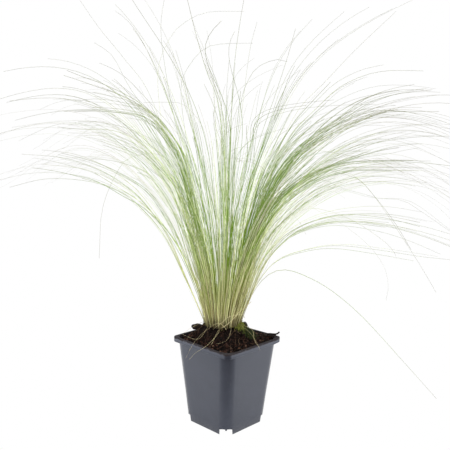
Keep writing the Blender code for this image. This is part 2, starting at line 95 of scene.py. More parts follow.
# Grass: tufts in rings round the middle one (number, radius and blades in each tuft of the solids), and
# the fountain that their blades follow
TUFT_RINGS = ((1, 0.0, 8), (6, 7.9 * MM, 12), (12, 15.9 * MM, 24))
TUFT_SHIFT, CROWN_SIDES, LEAST_SIDE = 0.8 * MM, 28, 0.6 * MM
BLADE_ROOM, ROOT_DRAWS = 0.97 * MM, 24
BLADE_LONGEST, BLADE_SHORTEST = 438 * MM, 180 * MM
MIDDLE_SHORTER = 62 * MM
CROWN_TILT = math.radians(20)
ARCH_TILT, ARCH_POWER, ARCH_BEND = math.radians(100), 0.5, 3.0
ARCH_RISE_EDGE, ARCH_RISE_MIDDLE = 155 * MM, 225 * MM
ARCH_STEPS, BEND_RISE = 48, 90 * MM
LEAN_AZIMUTH = math.radians(44)
LEAN_WAY = np.array([math.cos(LEAN_AZIMUTH), math.sin(LEAN_AZIMUTH)])
LEAN_TILT, LEAN_RISE, LEAN_LENGTH = 0.03, 0.05, 0.05
SWAY, SWAY_LENGTH, SWAY_REACH = 20 * MM, 480 * MM, 300 * MM
GATHER_RISE = 200 * MM
TUFT_PULL, CLUMP_PULL = 0.2, 0.55
LOBE_PULL, LEAN_PULL, LOBE_RISE = 0.6, 0.2, 120 * MM
SEED = 41

# Strands: points and sides, how far the roots are sunk, companions, sheaths, and how locks part
BLADE_POINTS, THREAD_SIDES = 34, 3
BLADE_SINK, SINGLE_SINK, EDGE_INSET = 4 * MM, 2 * MM, 1.6 * MM
COMPANION_SHARE = 0.5
SHEATHS_PER_TUFT, SHEATH_SPREAD, SHEATH_WAVE = 13, 4.4 * MM, 90 * MM
LOCK_SPREAD, LOCK_ROOT, LOCK_POINTS, LOCK_SHORTEST = 6 * MM, 2 * MM, 64, 0.45

# Dead blades over the rim: azimuth of the root and of the tip, reach from the pot's axis, the tip's height
# and the rise of the bow
FALLEN_BLADES = (
    (-75, -95, 60 * MM, 87 * MM, -9 * MM),
    (-52, -72, 39 * MM, 102 * MM, -12 * MM),
    (-140, -134, 50 * MM, 104 * MM, -10 * MM),
    (8, 1, 50.5 * MM, 96 * MM, -4 * MM),
)
FALLEN_BOW = 0.68

# Low blades: azimuth of the root and of the tip, how many hairs go together, and where they pass in mm
# (out from the crown, up)
STRAY_BLADES = (
    (40, 46, 1, ((33, 150), (50, 173), (70, 180), (96, 172), (126, 155), (164, 123), (216, 68),
                 (257, 24))),
    (54, 40, 3, ((34, 152), (60, 188), (98, 203), (133, 208), (181, 204), (226, 199), (274, 197))),
    (128, 140, 3, ((35, 156), (64, 192), (110, 203), (160, 186), (205, 150))),
    (34, 37, 8, ((43, 180), (68, 215), (96, 232), (130, 240), (175, 237), (215, 228), (255, 214))),
    (62, 60, 8, ((42, 178), (66, 209), (92, 226), (124, 236), (165, 240), (212, 238), (262, 229))),
    (218, 212, 5, ((44, 166), (67, 216), (94, 252), (118, 272), (151, 289), (196, 301), (251, 304))),
    (238, 250, 5, ((45, 170), (71, 222), (104, 260), (128, 276), (160, 287), (205, 291), (245, 284))),
)

# Single hairs that curl, cross or rise above the rest: how far behind the crown they end, and where they
# pass in mm (to the right as the camera looks, up)
HAIRS = (
    (10, ((-11, 118), (-43, 245), (-61, 302), (-72, 341), (-77, 399), (-65, 434), (-49, 452),
          (-24, 464), (17, 466))),
    (0, ((-6, 121), (-36, 281), (-47, 341), (-51, 377), (-48, 396), (-30, 421), (-11, 429), (27, 431))),
    (0, ((6, 121), (8, 293), (13, 337), (17, 376), (29, 402), (37, 408), (52, 414), (65, 412))),
    (-25, ((-14, 128), (-41, 255), (-58, 298), (-77, 309), (-98, 307), (-114, 297), (-134, 251),
           (-138, 194))),
    (-20, ((-1, 127), (-7, 216), (-15, 282), (-21, 320), (-28, 343), (-47, 363), (-68, 365), (-90, 364))),
    (0, ((-8, 121), (-21, 201), (-40, 280), (-59, 352), (-69, 406), (-73, 435), (-73, 456), (-69, 479))),
    (0, ((-1, 121), (2, 213), (-1, 292), (-10, 366), (-23, 400), (-36, 442), (-46, 480))),
    (0, ((3, 121), (3, 201), (4, 292), (6, 385), (8, 415), (12, 449), (17, 482))),
    (0, ((6, 121), (8, 201), (11, 293), (18, 370), (24, 424), (31, 453))),
    (15, ((15, 117), (27, 187), (42, 258), (61, 321), (81, 362), (108, 391), (143, 429), (185, 470))),
    (0, ((10, 121), (18, 202), (27, 282), (37, 326), (53, 376), (65, 416), (73, 447))),
    (10, ((-13, 118), (-31, 199), (-54, 285), (-86, 374), (-114, 412), (-142, 445), (-165, 477))),
    (-10, ((-15, 124), (-32, 202), (-56, 281), (-84, 346), (-108, 383), (-125, 414), (-144, 427))),
)

# Fainter hairs that droop on the right, written as the hairs are
DROOPING_HAIRS = (
    (-20, ((17, 127), (29, 189), (47, 242), (71, 275), (100, 293), (129, 294), (158, 275), (213, 200),
           (238, 161))),
    (-10, ((17, 124), (29, 183), (48, 229), (74, 261), (106, 277), (164, 265), (206, 262), (252, 231))),
    (-15, ((18, 126), (31, 182), (56, 225), (87, 250), (116, 249), (149, 236), (182, 214), (192, 201))),
    (-35, ((16, 132), (31, 195), (51, 247), (76, 274), (104, 285), (127, 276), (152, 270), (167, 266),
           (191, 265), (211, 254), (243, 233))),
    (-30, ((15, 130), (31, 194), (49, 250), (74, 281), (101, 296), (126, 292), (145, 286), (160, 271),
           (184, 242), (204, 211))),
)

# Locks of green blades that the streams of the two lobes are made of, written as the hairs are, with how
# many blades go together
LOCKS = (
    (10, 11, ((-13, 118), (-28, 199), (-46, 289), (-65, 327), (-86, 349), (-111, 357), (-155, 360),
              (-205, 355), (-255, 342))),
    (25, 10, ((-12, 114), (-28, 196), (-46, 290), (-67, 331), (-94, 356), (-128, 365), (-167, 368),
              (-221, 357))),
    (-5, 4, ((-12, 122), (-25, 202), (-44, 297), (-67, 336), (-96, 363), (-131, 380), (-158, 389),
             (-183, 398), (-209, 404))),
    (15, 5, ((-13, 116), (-30, 198), (-49, 282), (-72, 318), (-99, 334), (-127, 345), (-158, 350),
             (-192, 350))),
    (-20, 10, ((-16, 127), (-31, 191), (-53, 271), (-73, 297), (-98, 320), (-128, 332), (-163, 332),
               (-190, 334), (-223, 339))),
    (-10, 11, ((-16, 124), (-33, 189), (-55, 268), (-76, 292), (-96, 310), (-122, 320), (-145, 328),
               (-183, 334))),
    (-35, 5, ((-20, 131), (-41, 185), (-65, 226), (-92, 254), (-112, 267), (-143, 286), (-166, 293),
              (-194, 300), (-240, 306))),
    (-25, 2, ((-19, 128), (-40, 192), (-58, 244), (-79, 275), (-93, 283), (-117, 289), (-155, 291),
              (-201, 292))),
    (-30, 4, ((-19, 130), (-41, 186), (-62, 233), (-84, 264), (-112, 282), (-146, 296), (-183, 304),
              (-240, 312))),
    (5, 2, ((-9, 119), (-19, 217), (-31, 314), (-43, 358), (-57, 384), (-70, 403), (-84, 416),
            (-110, 441), (-135, 463))),
    (-10, 2, ((-13, 124), (-28, 214), (-47, 309), (-63, 343), (-73, 366), (-85, 386), (-99, 401),
              (-127, 419), (-142, 426))),
    (0, 4, ((-4, 121), (-5, 259), (-5, 348), (-8, 378), (-22, 417), (-33, 444), (-42, 473))),
    (0, 5, ((5, 121), (6, 236), (10, 322), (15, 374), (18, 409), (29, 437))),
    (0, 4, ((2, 121), (2, 236), (3, 336), (4, 381), (9, 429), (13, 459))),
    (15, 8, ((14, 117), (26, 199), (48, 284), (69, 329), (83, 348), (99, 364), (122, 387), (148, 401),
             (178, 409), (239, 410))),
    (5, 14, ((15, 120), (28, 199), (51, 270), (71, 306), (91, 324), (125, 348), (149, 366),
             (177, 378), (207, 384), (246, 389))),
    (20, 14, ((15, 116), (30, 198), (54, 274), (76, 306), (96, 325), (128, 343), (159, 357),
              (182, 363), (213, 364), (253, 365))),
    (-10, 9, ((15, 124), (29, 201), (53, 272), (76, 305), (108, 330), (140, 348), (178, 359),
              (210, 364), (243, 366))),
    (-15, 16, ((17, 126), (30, 191), (47, 244), (71, 271), (98, 290), (118, 304), (140, 315),
               (180, 323), (204, 330), (243, 335))),
    (-5, 15, ((17, 123), (31, 189), (48, 245), (72, 273), (100, 292), (127, 303), (155, 313),
              (182, 321), (214, 325), (247, 326))),
    (-30, 9, ((18, 130), (32, 191), (51, 244), (75, 271), (101, 290), (130, 301), (159, 304),
              (201, 305), (240, 305))),
    (-20, 7, ((19, 127), (34, 181), (54, 222), (78, 247), (104, 267), (136, 280), (179, 285), (246, 276))),
    (0, 8, ((-12, 121), (-22, 187), (-32, 230), (-42, 263), (-54, 294), (-67, 322), (-83, 346),
            (-102, 363))),
    (-5, 9, ((-10, 122), (-19, 188), (-27, 227), (-34, 258), (-43, 290), (-53, 318), (-62, 341))),
    (0, 19, ((14, 121), (21, 202), (33, 254), (43, 291), (58, 321), (77, 351), (100, 376))),
    (10, 15, ((15, 118), (25, 200), (40, 258), (53, 291), (70, 316), (92, 339), (121, 361), (159, 386))),
    (-20, 16, ((17, 127), (31, 192), (48, 233), (66, 257), (88, 275), (119, 289), (157, 296))),
    (-10, 16, ((16, 124), (27, 198), (41, 247), (56, 272), (78, 294), (103, 315), (135, 333))),
)

# Thin dead straws that curl round the foot of the tussock: points in mm right and in front of the crown, up
STRAWS = (
    ((-1, 19, 119), (-4, 26, 113), (-9, 36, 109), (-16, 48, 105), (-21, 54, 103), (-29, 52, 97),
     (-36, 48, 88)),
    ((7, 19, 133), (10, 24, 124), (9, 32, 116), (6, 38, 109), (-1, 38, 104), (-8, 36, 102)),
    ((-15, 14, 120), (-19, 20, 113), (-24, 28, 107), (-29, 30, 105), (-37, 22, 104), (-47, 12, 105)),
    ((20, 12, 118), (33, 20, 114), (35, 26, 106), (37, 34, 103), (40, 42, 102)),
)

# Paler ones that bow over the front of the foot, written as the straws are
BOWED_STRAWS = (
    ((-11, 20, 113), (-8, 28, 119), (-2, 34, 125), (4, 37, 132), (10, 38, 135), (16, 37, 136),
     (22, 32, 135), (24, 29, 130)),
    ((-4, 20, 114), (3, 32, 122), (10, 37, 130), (17, 36, 138), (25, 31, 144), (31, 26, 148)),
    ((-16, 16, 113), (-12, 24, 119), (-5, 28, 123), (0, 29, 121), (4, 28, 116)),
)

# Dark scraps caught at a corner of the rim, written as the straws are
SCRAPS = (
    ((48, -3, 101), (54, -2, 102.5), (59, -1, 102.5), (63, 0, 103), (66, 0, 105.5)),
    ((52, 1, 101), (57, 1, 101.5), (62, 1, 101.5)),
    ((56, 3, 101), (60, 3, 101), (65, 2, 98.5)),
)

# Camera and light
CAMERA_PLACE = (0.4886, -0.5118, 0.3319)
CAMERA_AZIMUTH, CAMERA_PITCH, CAMERA_ROLL = math.radians(44.05), math.radians(8.14), math.radians(1.06)
CAMERA_LENS = 50.66
CAMERA_RIGHT = np.array([math.cos(CAMERA_AZIMUTH), math.sin(CAMERA_AZIMUTH)])
CAMERA_FRONT = np.array([CAMERA_RIGHT[1], -CAMERA_RIGHT[0]])

LATTICE_SIDE = 32
LATTICE = np.random.default_rng(7).random((LATTICE_SIDE,) * 3) * 2 - 1


# ---------------------------------------------------------------- shared tools


def rough(points, size):
    """Smooth random values from -1 to 1 over points, with lumps of about that size."""
    scaled = np.asarray(points, float) / size
    cell = np.floor(scaled).astype(int)
    part = scaled - cell
    part = part * part * (3 - 2 * part)
    total = np.zeros(scaled.shape[:-1])
    for corner in np.ndindex(2, 2, 2):
        weight = np.prod(np.where(corner, part, 1 - part), axis=-1)
        i = (cell + corner) % LATTICE_SIDE
        total += weight * LATTICE[i[..., 0], i[..., 1], i[..., 2]]
    return total


def add_mesh(name, vertices, faces, material, smooth=True):
    """A new object of the given vertices and faces."""
    mesh = bpy.data.meshes.new(name)
    mesh.from_pydata(np.asarray(vertices).tolist(), [], faces)
    mesh.materials.append(material)
    if smooth:
        mesh.shade_smooth()
    piece = bpy.data.objects.new(name, mesh)
    bpy.context.scene.collection.objects.link(piece)
    return piece


def place(piece, slot, *nodes):
    """The piece goes with the object's one body and stands for the named solids."""
    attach(piece, "root")
    if nodes:
        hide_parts(*nodes)


def paint(piece, name, values):
    """A number for each vertex, which the material reads by name."""
    layer = piece.data.attributes.new(name, "FLOAT", "POINT")
    layer.data.foreach_set("value", np.asarray(values, np.float32).ravel())


def skin(bm, loops):
    """Bridges loops of equally many points, one after another, and caps both ends."""
    rings = [[bm.verts.new(point) for point in loop] for loop in loops]
    for low, high in zip(rings, rings[1:]):
        for i, corner in enumerate(low):
            j = (i + 1) % len(low)
            bm.faces.new((corner, low[j], high[j], high[i]))
    bm.faces.new(rings[0])
    bm.faces.new(rings[-1])


def object_of(name, bm, material=None):
    """An object with the faces of bm, which is used up."""
    bmesh.ops.recalc_face_normals(bm, faces=bm.faces)
    mesh = bpy.data.meshes.new(name)
    bm.to_mesh(mesh)
    bm.free()
    if material:
        mesh.materials.append(material)
    thing = bpy.data.objects.new(name, mesh)
    bpy.context.scene.collection.objects.link(thing)
    return thing


def cut(target, *tools):
    """Takes the tools out of the target and removes them."""
    for tool in tools:
        modifier = target.modifiers.new("cut", "BOOLEAN")
        modifier.operation, modifier.solver, modifier.object = "DIFFERENCE", "EXACT", tool
    evaluated = target.evaluated_get(bpy.context.evaluated_depsgraph_get())
    target.data = bpy.data.meshes.new_from_object(evaluated)
    target.modifiers.clear()
    for tool in tools:
        bpy.data.objects.remove(tool, do_unlink=True)


# ---------------------------------------------------------------- materials


class Nodes:
    """A node tree with short calls to add and link nodes."""

    def __init__(self, tree):
        self.tree = tree

    def add(self, kind, values=None, **settings):
        node = self.tree.nodes.new(kind)
        for key, value in settings.items():
            setattr(node, key, value)
        for key, value in (values or {}).items():
            self.feed(node, key, value)
        return node

    def feed(self, node, key, value):
        socket = node.inputs[key]
        if isinstance(value, bpy.types.NodeSocket):
            self.tree.links.new(value, socket)
        else:
            socket.default_value = value

    def noise(self, where, scale, detail=3.0, roughness=0.55):
        values = {"Vector": where, "Scale": scale, "Detail": detail, "Roughness": roughness}
        return self.add("ShaderNodeTexNoise", values).outputs["Fac"]

    def mix(self, share, a, b, kind="MIX"):
        node = self.add("ShaderNodeMix", data_type="RGBA", blend_type=kind, clamp_factor=True)
        self.feed(node, 0, share)
        self.feed(node, 6, a)
        self.feed(node, 7, b)
        return node.outputs[2]

    def stretch(self, where, rise):
        """Places whose height is scaled, so that what is made from them runs along or across it."""
        return self.add("ShaderNodeMapping", {"Vector": where, "Scale": (1.0, 1.0, rise)}).outputs[0]

    def dot(self, a, b):
        return self.add("ShaderNodeVectorMath", {0: a, 1: b}, operation="DOT_PRODUCT").outputs["Value"]

    def span(self, value, low, high, to_low=0.0, to_high=1.0):
        values = {"Value": value, 1: low, 2: high, 3: to_low, 4: to_high}
        return self.add("ShaderNodeMapRange", values, clamp=True).outputs[0]

    def maths(self, operation, a, b):
        return self.add("ShaderNodeMath", {0: a, 1: b}, operation=operation).outputs[0]

    def ramp(self, value, *stops):
        node = self.add("ShaderNodeValToRGB", {"Fac": value})
        elements = node.color_ramp.elements
        while len(elements) < len(stops):
            elements.new(1.0)
        for element, (position, shade) in zip(elements, stops):
            element.position = position
            element.color = shade
        return node.outputs["Color"]

    def attribute(self, name):
        return self.add("ShaderNodeAttribute", attribute_name=name).outputs["Fac"]


def colour(red, green, blue):
    """A screen colour of 0 to 255 as linear light, opaque."""
    shares = [c / 255 for c in (red, green, blue)]
    return (*(c / 12.92 if c <= 0.04045 else ((c + 0.055) / 1.055) ** 2.4 for c in shares), 1.0)


def new_material(name, roughness=0.6, specular=0.5):
    material = bpy.data.materials.new(name)
    material.use_nodes = True
    shader = material.node_tree.nodes["Principled BSDF"]
    shader.inputs["Roughness"].default_value = roughness
    shader.inputs["Specular IOR Level"].default_value = specular
    nodes = Nodes(material.node_tree)
    where = nodes.add("ShaderNodeTexCoord").outputs["Object"]
    return material, nodes, shader, where


def bump(nodes, shader, height, distance, strength=1.0):
    values = {"Height": height, "Distance": distance, "Strength": strength}
    nodes.feed(shader, "Normal", nodes.add("ShaderNodeBump", values).outputs[0])


def speckle_group():
    """Grains of a size, mixed over a colour: what both peat and bark are flecked with."""
    tree = bpy.data.node_groups.new("speckle", "ShaderNodeTree")
    taken = {"Vector": "Vector", "Under": "Color", "Fleck": "Color", "Scale": "Float", "Share": "Float"}
    for name, kind in taken.items():
        tree.interface.new_socket(name, in_out="INPUT", socket_type=f"NodeSocket{kind}")
    tree.interface.new_socket("Color", in_out="OUTPUT", socket_type="NodeSocketColor")
    tree.interface.new_socket("Height", in_out="OUTPUT", socket_type="NodeSocketFloat")
    nodes = Nodes(tree)
    given = nodes.add("NodeGroupInput").outputs
    grain = nodes.noise(given["Vector"], given["Scale"], detail=4.0, roughness=0.7)
    edge = nodes.maths("SUBTRACT", 1.0, given["Share"])
    mask = nodes.span(grain, edge, nodes.maths("ADD", edge, 0.12))
    shown = nodes.mix(mask, given["Under"], given["Fleck"])
    out = nodes.add("NodeGroupOutput")
    nodes.feed(out, "Color", shown)
    nodes.feed(out, "Height", grain)
    return tree


def flecked(nodes, shader, group, where, under, fleck, scale, share, depth):
    """Gives a shader a colour with grains of another one over it, which stand out by depth."""
    values = {"Vector": where, "Under": under, "Fleck": fleck, "Scale": scale, "Share": share}
    grains = nodes.add("ShaderNodeGroup", values, node_tree=group)
    nodes.feed(shader, "Base Color", grains.outputs["Color"])
    bump(nodes, shader, grains.outputs["Height"], depth)


def pot_plastic():
    """Recycled black plastic, satin, with a dusting and faint scuffs."""
    material, nodes, shader, where = new_material("satin_black_plastic", 0.4, 0.62)
    cloud = nodes.noise(where, 60.0, 4.0)
    scuff = nodes.noise(nodes.stretch(where, 0.12), 900.0, 3.0, 0.7)
    base = nodes.mix(nodes.span(cloud, 0.35, 0.7), (0.0115, 0.0118, 0.0155, 1), (0.0165, 0.017, 0.0225, 1))
    base = nodes.mix(nodes.span(scuff, 0.62, 0.8, 0.0, 0.2), base, (0.09, 0.09, 0.11, 1))
    level = nodes.add("ShaderNodeSeparateXYZ", {0: where}).outputs["Z"]
    dusting = nodes.noise(where, 420.0, 4.0, 0.7)
    edge = nodes.maths("ADD", level, nodes.span(dusting, 0.3, 0.7, -1.1 * MM, 1.1 * MM))
    dust = nodes.span(edge, POT_HEIGHT - 2.3 * MM, POT_HEIGHT - 0.9 * MM, 0.0, 0.95)
    base = nodes.mix(dust, base, colour(30, 22, 18))
    nodes.feed(shader, "Base Color", base)
    shader.inputs["Specular Tint"].default_value = (0.72, 0.8, 1.0, 1.0)
    satin = nodes.span(cloud, 0.3, 0.7, 0.28, 0.38)
    nodes.feed(shader, "Roughness", nodes.maths("MAXIMUM", satin, dust))
    bump(nodes, shader, nodes.noise(where, 1500.0, 2.0), 0.06 * MM, 0.5)
    return material


def peat(group):
    """Dark, wet peat with paler grains."""
    material, nodes, shader, where = new_material("dark_peat", 0.95, 0.1)
    under = nodes.ramp(
        nodes.noise(where, 180.0, 4.0),
        (0.3, colour(6, 4, 3)),
        (0.55, colour(18, 11, 9)),
        (0.75, colour(44, 28, 22)),
    )
    flecked(nodes, shader, group, where, under, colour(58, 42, 34), 900.0, 0.3, 0.6 * MM)
    return material


def crumb_peat(group):
    """Loose crumbs, most of them dark and a few dry and brown."""
    material, nodes, shader, where = new_material("peat_crumbs", 0.92, 0.12)
    under = nodes.ramp(
        nodes.attribute("tone"),
        (0.0, colour(6, 4, 3)),
        (0.5, colour(17, 11, 9)),
        (0.8, colour(42, 26, 20)),
        (0.93, colour(68, 46, 36)),
        (1.0, colour(92, 74, 62)),
    )
    flecked(nodes, shader, group, where, under, colour(44, 31, 25), 1400.0, 0.3, 0.4 * MM)
    return material


def bark(group):
    """Bark in thin level layers."""
    material, nodes, shader, where = new_material("dark_bark", 0.85, 0.3)
    under = nodes.ramp(
        nodes.noise(nodes.stretch(where, 5.0), 260.0, 4.0),
        (0.3, colour(12, 9, 7)),
        (0.6, colour(32, 24, 19)),
        (0.8, colour(58, 44, 34)),
    )
    flecked(nodes, shader, group, where, under, colour(80, 68, 56), 1100.0, 0.26, 0.5 * MM)
    return material


def fibre():
    """Thin roots, from reddish brown to a few pale ones, with a fine grain along them."""
    material, nodes, shader, where = new_material("peat_fibres", 0.8, 0.3)
    shade = nodes.ramp(
        nodes.attribute("tone"),
        (0.0, colour(16, 10, 8)),
        (0.1, colour(30, 17, 12)),
        (0.5, colour(58, 34, 23)),
        (0.85, colour(66, 46, 34)),
        (1.0, colour(98, 80, 60)),
    )
    grain = nodes.noise(where, 1800.0, 3.0)
    shade = nodes.mix(nodes.span(grain, 0.4, 0.7, 0.0, 0.5), shade, colour(26, 16, 12))
    nodes.feed(shader, "Base Color", shade)
    nodes.feed(shader, "Roughness", nodes.span(grain, 0.3, 0.7, 0.65, 0.9))
    bump(nodes, shader, grain, 0.1 * MM)
    return material


def moss_green():
    """Dark moss, yellow-green where it is close to the crown and at the tips of its shoots."""
    material, nodes, shader, where = new_material("green_moss", 0.9, 0.25)
    tone = nodes.attribute("tone")
    under = nodes.mix(tone, colour(14, 17, 10), colour(60, 64, 25))
    over = nodes.mix(tone, colour(34, 43, 25), colour(130, 136, 58))
    nodes.feed(shader, "Base Color", nodes.mix(nodes.attribute("along"), under, over))
    bump(nodes, shader, nodes.noise(where, 2500.0, 2.0), 0.2 * MM)
    return material


def blade_green():
    """Straw at the sheath, fresh green along the blade and grey where it thins to a hair. Beside the blades'
    own tones, the colours carry painted shade at the foot, in the streaks and high up the long blades, and
    painted highlights in the palest blades.

    rise is how far up its blade a point is, in lengths of the longest one, and tipward is the share of its
    own blade. tone runs from deep to pale, or from pale to brown in dead blades, and dry from green to dead.
    """
    material, nodes, shader, where = new_material("feather_grass_blade", 0.55, 0.22)
    rise = nodes.attribute("rise")
    tipward = nodes.attribute("tipward")
    tone = nodes.attribute("tone")
    dry = nodes.attribute("dry")
    shifted = nodes.maths("ADD", rise, nodes.span(tone, 0.0, 1.0, -0.04, 0.04))
    # The top stops of the deep and pale ramps are darker and greyer: partly the hairs' own grey, partly
    # painted shade of high arcs seen against the bright surround.
    deep = nodes.ramp(
        shifted,
        (0.0, colour(112, 98, 50)),
        (0.09, colour(112, 124, 32)),
        (0.2, colour(98, 132, 6)),
        (0.45, colour(98, 134, 24)),
        (0.7, colour(112, 130, 70)),
        (0.95, colour(120, 120, 100)),
    )
    # The palest, near-white blades are partly their own paler tone and partly painted highlights.
    pale = nodes.ramp(
        shifted,
        (0.0, colour(226, 218, 168)),
        (0.09, colour(224, 228, 160)),
        (0.2, colour(226, 236, 164)),
        (0.45, colour(214, 230, 164)),
        (0.7, colour(192, 198, 162)),
        (0.95, colour(156, 158, 142)),
    )
    green = nodes.mix(nodes.span(tone, 0.45, 0.85), deep, pale)
    straw = nodes.ramp(
        shifted,
        (0.0, colour(190, 180, 132)),
        (0.12, colour(206, 196, 154)),
        (0.3, colour(224, 220, 196)),
        (0.7, colour(170, 168, 150)),
    )
    straw = nodes.mix(nodes.span(tone, 0.4, 1.0, 0.0, 0.6), straw, colour(134, 114, 88))
    shown = nodes.mix(dry, green, straw)
    # Blades grey as they thin to hairs, their own colour. The way the grey grows with height is painted
    # shade of high arcs against the light.
    thinned_out = nodes.span(tipward, 0.58, 0.98, 0.0, 0.9)
    grey = nodes.maths("MULTIPLY", thinned_out, nodes.span(rise, 0.4, 0.72, 0.25, 1.0))
    shown = nodes.mix(grey, shown, colour(122, 119, 104))
    # The foot of each blade darkens to brown near the soil: painted shade at the crown's foot.
    low = nodes.maths("ADD", rise, nodes.span(tone, 0.0, 1.0, -0.012, 0.008))
    shown = nodes.mix(nodes.span(low, 0.008, 0.042, 0.85, 0.0), shown, colour(58, 42, 28))
    # Streaks darken stretches of fresh blades: partly their own streaks, partly painted shade of stretches
    # that turn from the light.
    streak_place = nodes.stretch(where, 0.25)
    streak = nodes.noise(streak_place, 260.0, 3.0)
    fresh = nodes.span(dry, 0.0, 1.0, 1.0, 0.0)
    streaks_and_painted_shade = nodes.maths("MULTIPLY", nodes.span(streak, 0.35, 0.65, 0.0, 0.25), fresh)
    shown = nodes.mix(streaks_and_painted_shade, shown, colour(104, 122, 56))
    nodes.feed(shader, "Base Color", shown)
    nodes.feed(shader, "Roughness", nodes.span(streak, 0.3, 0.7, 0.45, 0.65))
    bump(nodes, shader, nodes.noise(streak_place, 1600.0, 2.0), 0.08 * MM)
    return material


# ---------------------------------------------------------------- pot


def rounded_square(width, corner, z):
    """Points round a square with round corners, with a few along each flat side."""
    points = []
    centre = width / 2 - corner
    for quarter in range(4):
        turn = quarter * math.pi / 2
        c, s = math.cos(turn), math.sin(turn)
        spots = []
        for step in range(POT_CORNER_POINTS):
            angle = step / (POT_CORNER_POINTS - 1) * math.pi / 2
            spots.append((centre + corner * math.cos(angle), centre + corner * math.sin(angle)))
        for step in range(1, POT_SIDE_POINTS):
            spots.append((centre - 2 * centre * step / POT_SIDE_POINTS, centre + corner))
        points += [Vector((x * c - y * s, x * s + y * c, z)) for x, y in spots]
    return points


def wall_loop(z, inset):
    """The tapered wall's outline at a height, drawn in by inset."""
    share = z / POT_HEIGHT
    width = FOOT_WIDTH + (WALL_TOP_WIDTH - FOOT_WIDTH) * share
    corner = FOOT_CORNER + (WALL_TOP_CORNER - FOOT_CORNER) * share
    return rounded_square(width - 2 * inset, corner - inset, z)


def lip_loop(z, inset):
    """The lip's outline at a height, drawn in by inset, with corners that stay a little rounder."""
    return rounded_square(RIM_WIDTH - 2 * inset, RIM_CORNER - inset * 0.8, z)


def diagonal_block(profile, inner, outer, turn):
    """A bar with a profile of (across, height) points that runs outwards under one corner."""
    loops = []
    for reach in (inner, outer):
        loop = []
        for across, z in profile:
            x = reach * math.cos(turn) - across * math.sin(turn)
            y = reach * math.sin(turn) + across * math.cos(turn)
            loop.append(Vector((x, y, z)))
        loops.append(loop)
    bm = bmesh.new()
    skin(bm, loops)
    return object_of("diagonal_block", bm)


def under_corners(profile, inner, outer):
    """A diagonal block under each of the four corners."""
    return [diagonal_block(profile, inner, outer, (q + 0.5) * math.pi / 2) for q in range(4)]


def make_pot(material):
    """The moulded pot with rounded edges, a lip, corner recesses with a rib, and drain slots."""
    lip_foot = POT_HEIGHT - LIP_HEIGHT
    under_lip = POT_HEIGHT - LIP_THICKNESS
    edge = EDGE_ROUND
    loops = [wall_loop(0.0, edge), wall_loop(edge * 0.3, edge * 0.3), wall_loop(edge, 0.0)]
    for k in range(1, POT_WALL_RINGS + 1):
        loops.append(wall_loop(edge + (under_lip - edge) * k / POT_WALL_RINGS, 0.0))
    loops += [
        lip_loop(under_lip, LIP_THICKNESS),
        lip_loop(lip_foot, LIP_THICKNESS),
        lip_loop(lip_foot, LIP_FOOT_ROUND),
        lip_loop(lip_foot + LIP_FOOT_ROUND, 0.0),
        lip_loop(POT_HEIGHT - edge, 0.0),
        lip_loop(POT_HEIGHT - LIP_TOP_ROUND, LIP_TOP_ROUND),
        lip_loop(POT_HEIGHT, edge),
    ]
    bm = bmesh.new()
    skin(bm, loops)
    pot = object_of("pot_body", bm, material)
    half, rib, low = NOTCH_WIDTH / 2, NOTCH_RIB_WIDTH / 2, NOTCH_HEIGHT - NOTCH_RIB_HEIGHT
    ribbed = (
        (-half, -CUT),
        (half, -CUT),
        (half, NOTCH_HEIGHT),
        (rib, NOTCH_HEIGHT),
        (rib, low),
        (-rib, low),
        (-rib, NOTCH_HEIGHT),
        (-half, NOTCH_HEIGHT),
    )
    grown, top = half + FLOOR, NOTCH_HEIGHT + FLOOR
    roof = ((-grown, -CUT), (grown, -CUT), (grown, top), (-grown, top))
    side, sill, head = DRAIN_WIDTH / 2, FLOOR + DRAIN_EDGE, low - DRAIN_EDGE
    slot = ((-side, sill), (side, sill), (side, head), (-side, head))
    bm = bmesh.new()
    skin(bm, [wall_loop(z, WALL) for z in (FLOOR, POT_HEIGHT - MOUTH_DEPTH, POT_HEIGHT + CUT)])
    hollow = object_of("hollow", bm)
    cut(hollow, *under_corners(roof, NOTCH_INNER - FLOOR, CORNER_REACH + CUT))
    cut(pot, *under_corners(ribbed, NOTCH_INNER, CORNER_REACH + CUT), hollow)
    cut(pot, *under_corners(slot, NOTCH_INNER - 2 * FLOOR, NOTCH_INNER + FLOOR))
    warp_pot(pot.data)
    pot.data.shade_smooth()
    pot.data.set_sharp_from_angle(angle=POT_CREASE)
    place(pot, "pot_plastic", "pot")


def warp_pot(mesh):
    """Thin walls bow in a little between the corners, and one rim corner is bent up."""
    for vertex in mesh.vertices:
        x, y, z = vertex.co
        height = z / POT_HEIGHT
        bow = WALL_BOW * math.sin(math.pi * min(1.0, height)) * (height < LIP_SHARE)
        if abs(x) > abs(y):
            vertex.co.x -= math.copysign(bow * max(0.0, math.cos(y / BOW_SPAN)), x)
        else:
            vertex.co.y -= math.copysign(bow * max(0.0, math.cos(x / BOW_SPAN)), y)
        if height > LIP_SHARE:
            away = (Vector((x, y)) - Vector(BENT_CORNER)).length
            vertex.co.z += BENT_LIFT * math.exp(-((away / BENT_REACH) ** 2))


# ---------------------------------------------------------------- soil and what lies on it


def square_reach(angle, half, corner):
    """How far a square with round corners reaches from its centre at an angle."""
    long, short = sorted((abs(math.cos(angle)), abs(math.sin(angle))), reverse=True)
    straight = half - corner
    if half * short / long <= straight:
        return half / long
    along = straight * (long + short)
    return along + math.sqrt(along**2 - 2 * straight**2 + corner**2)


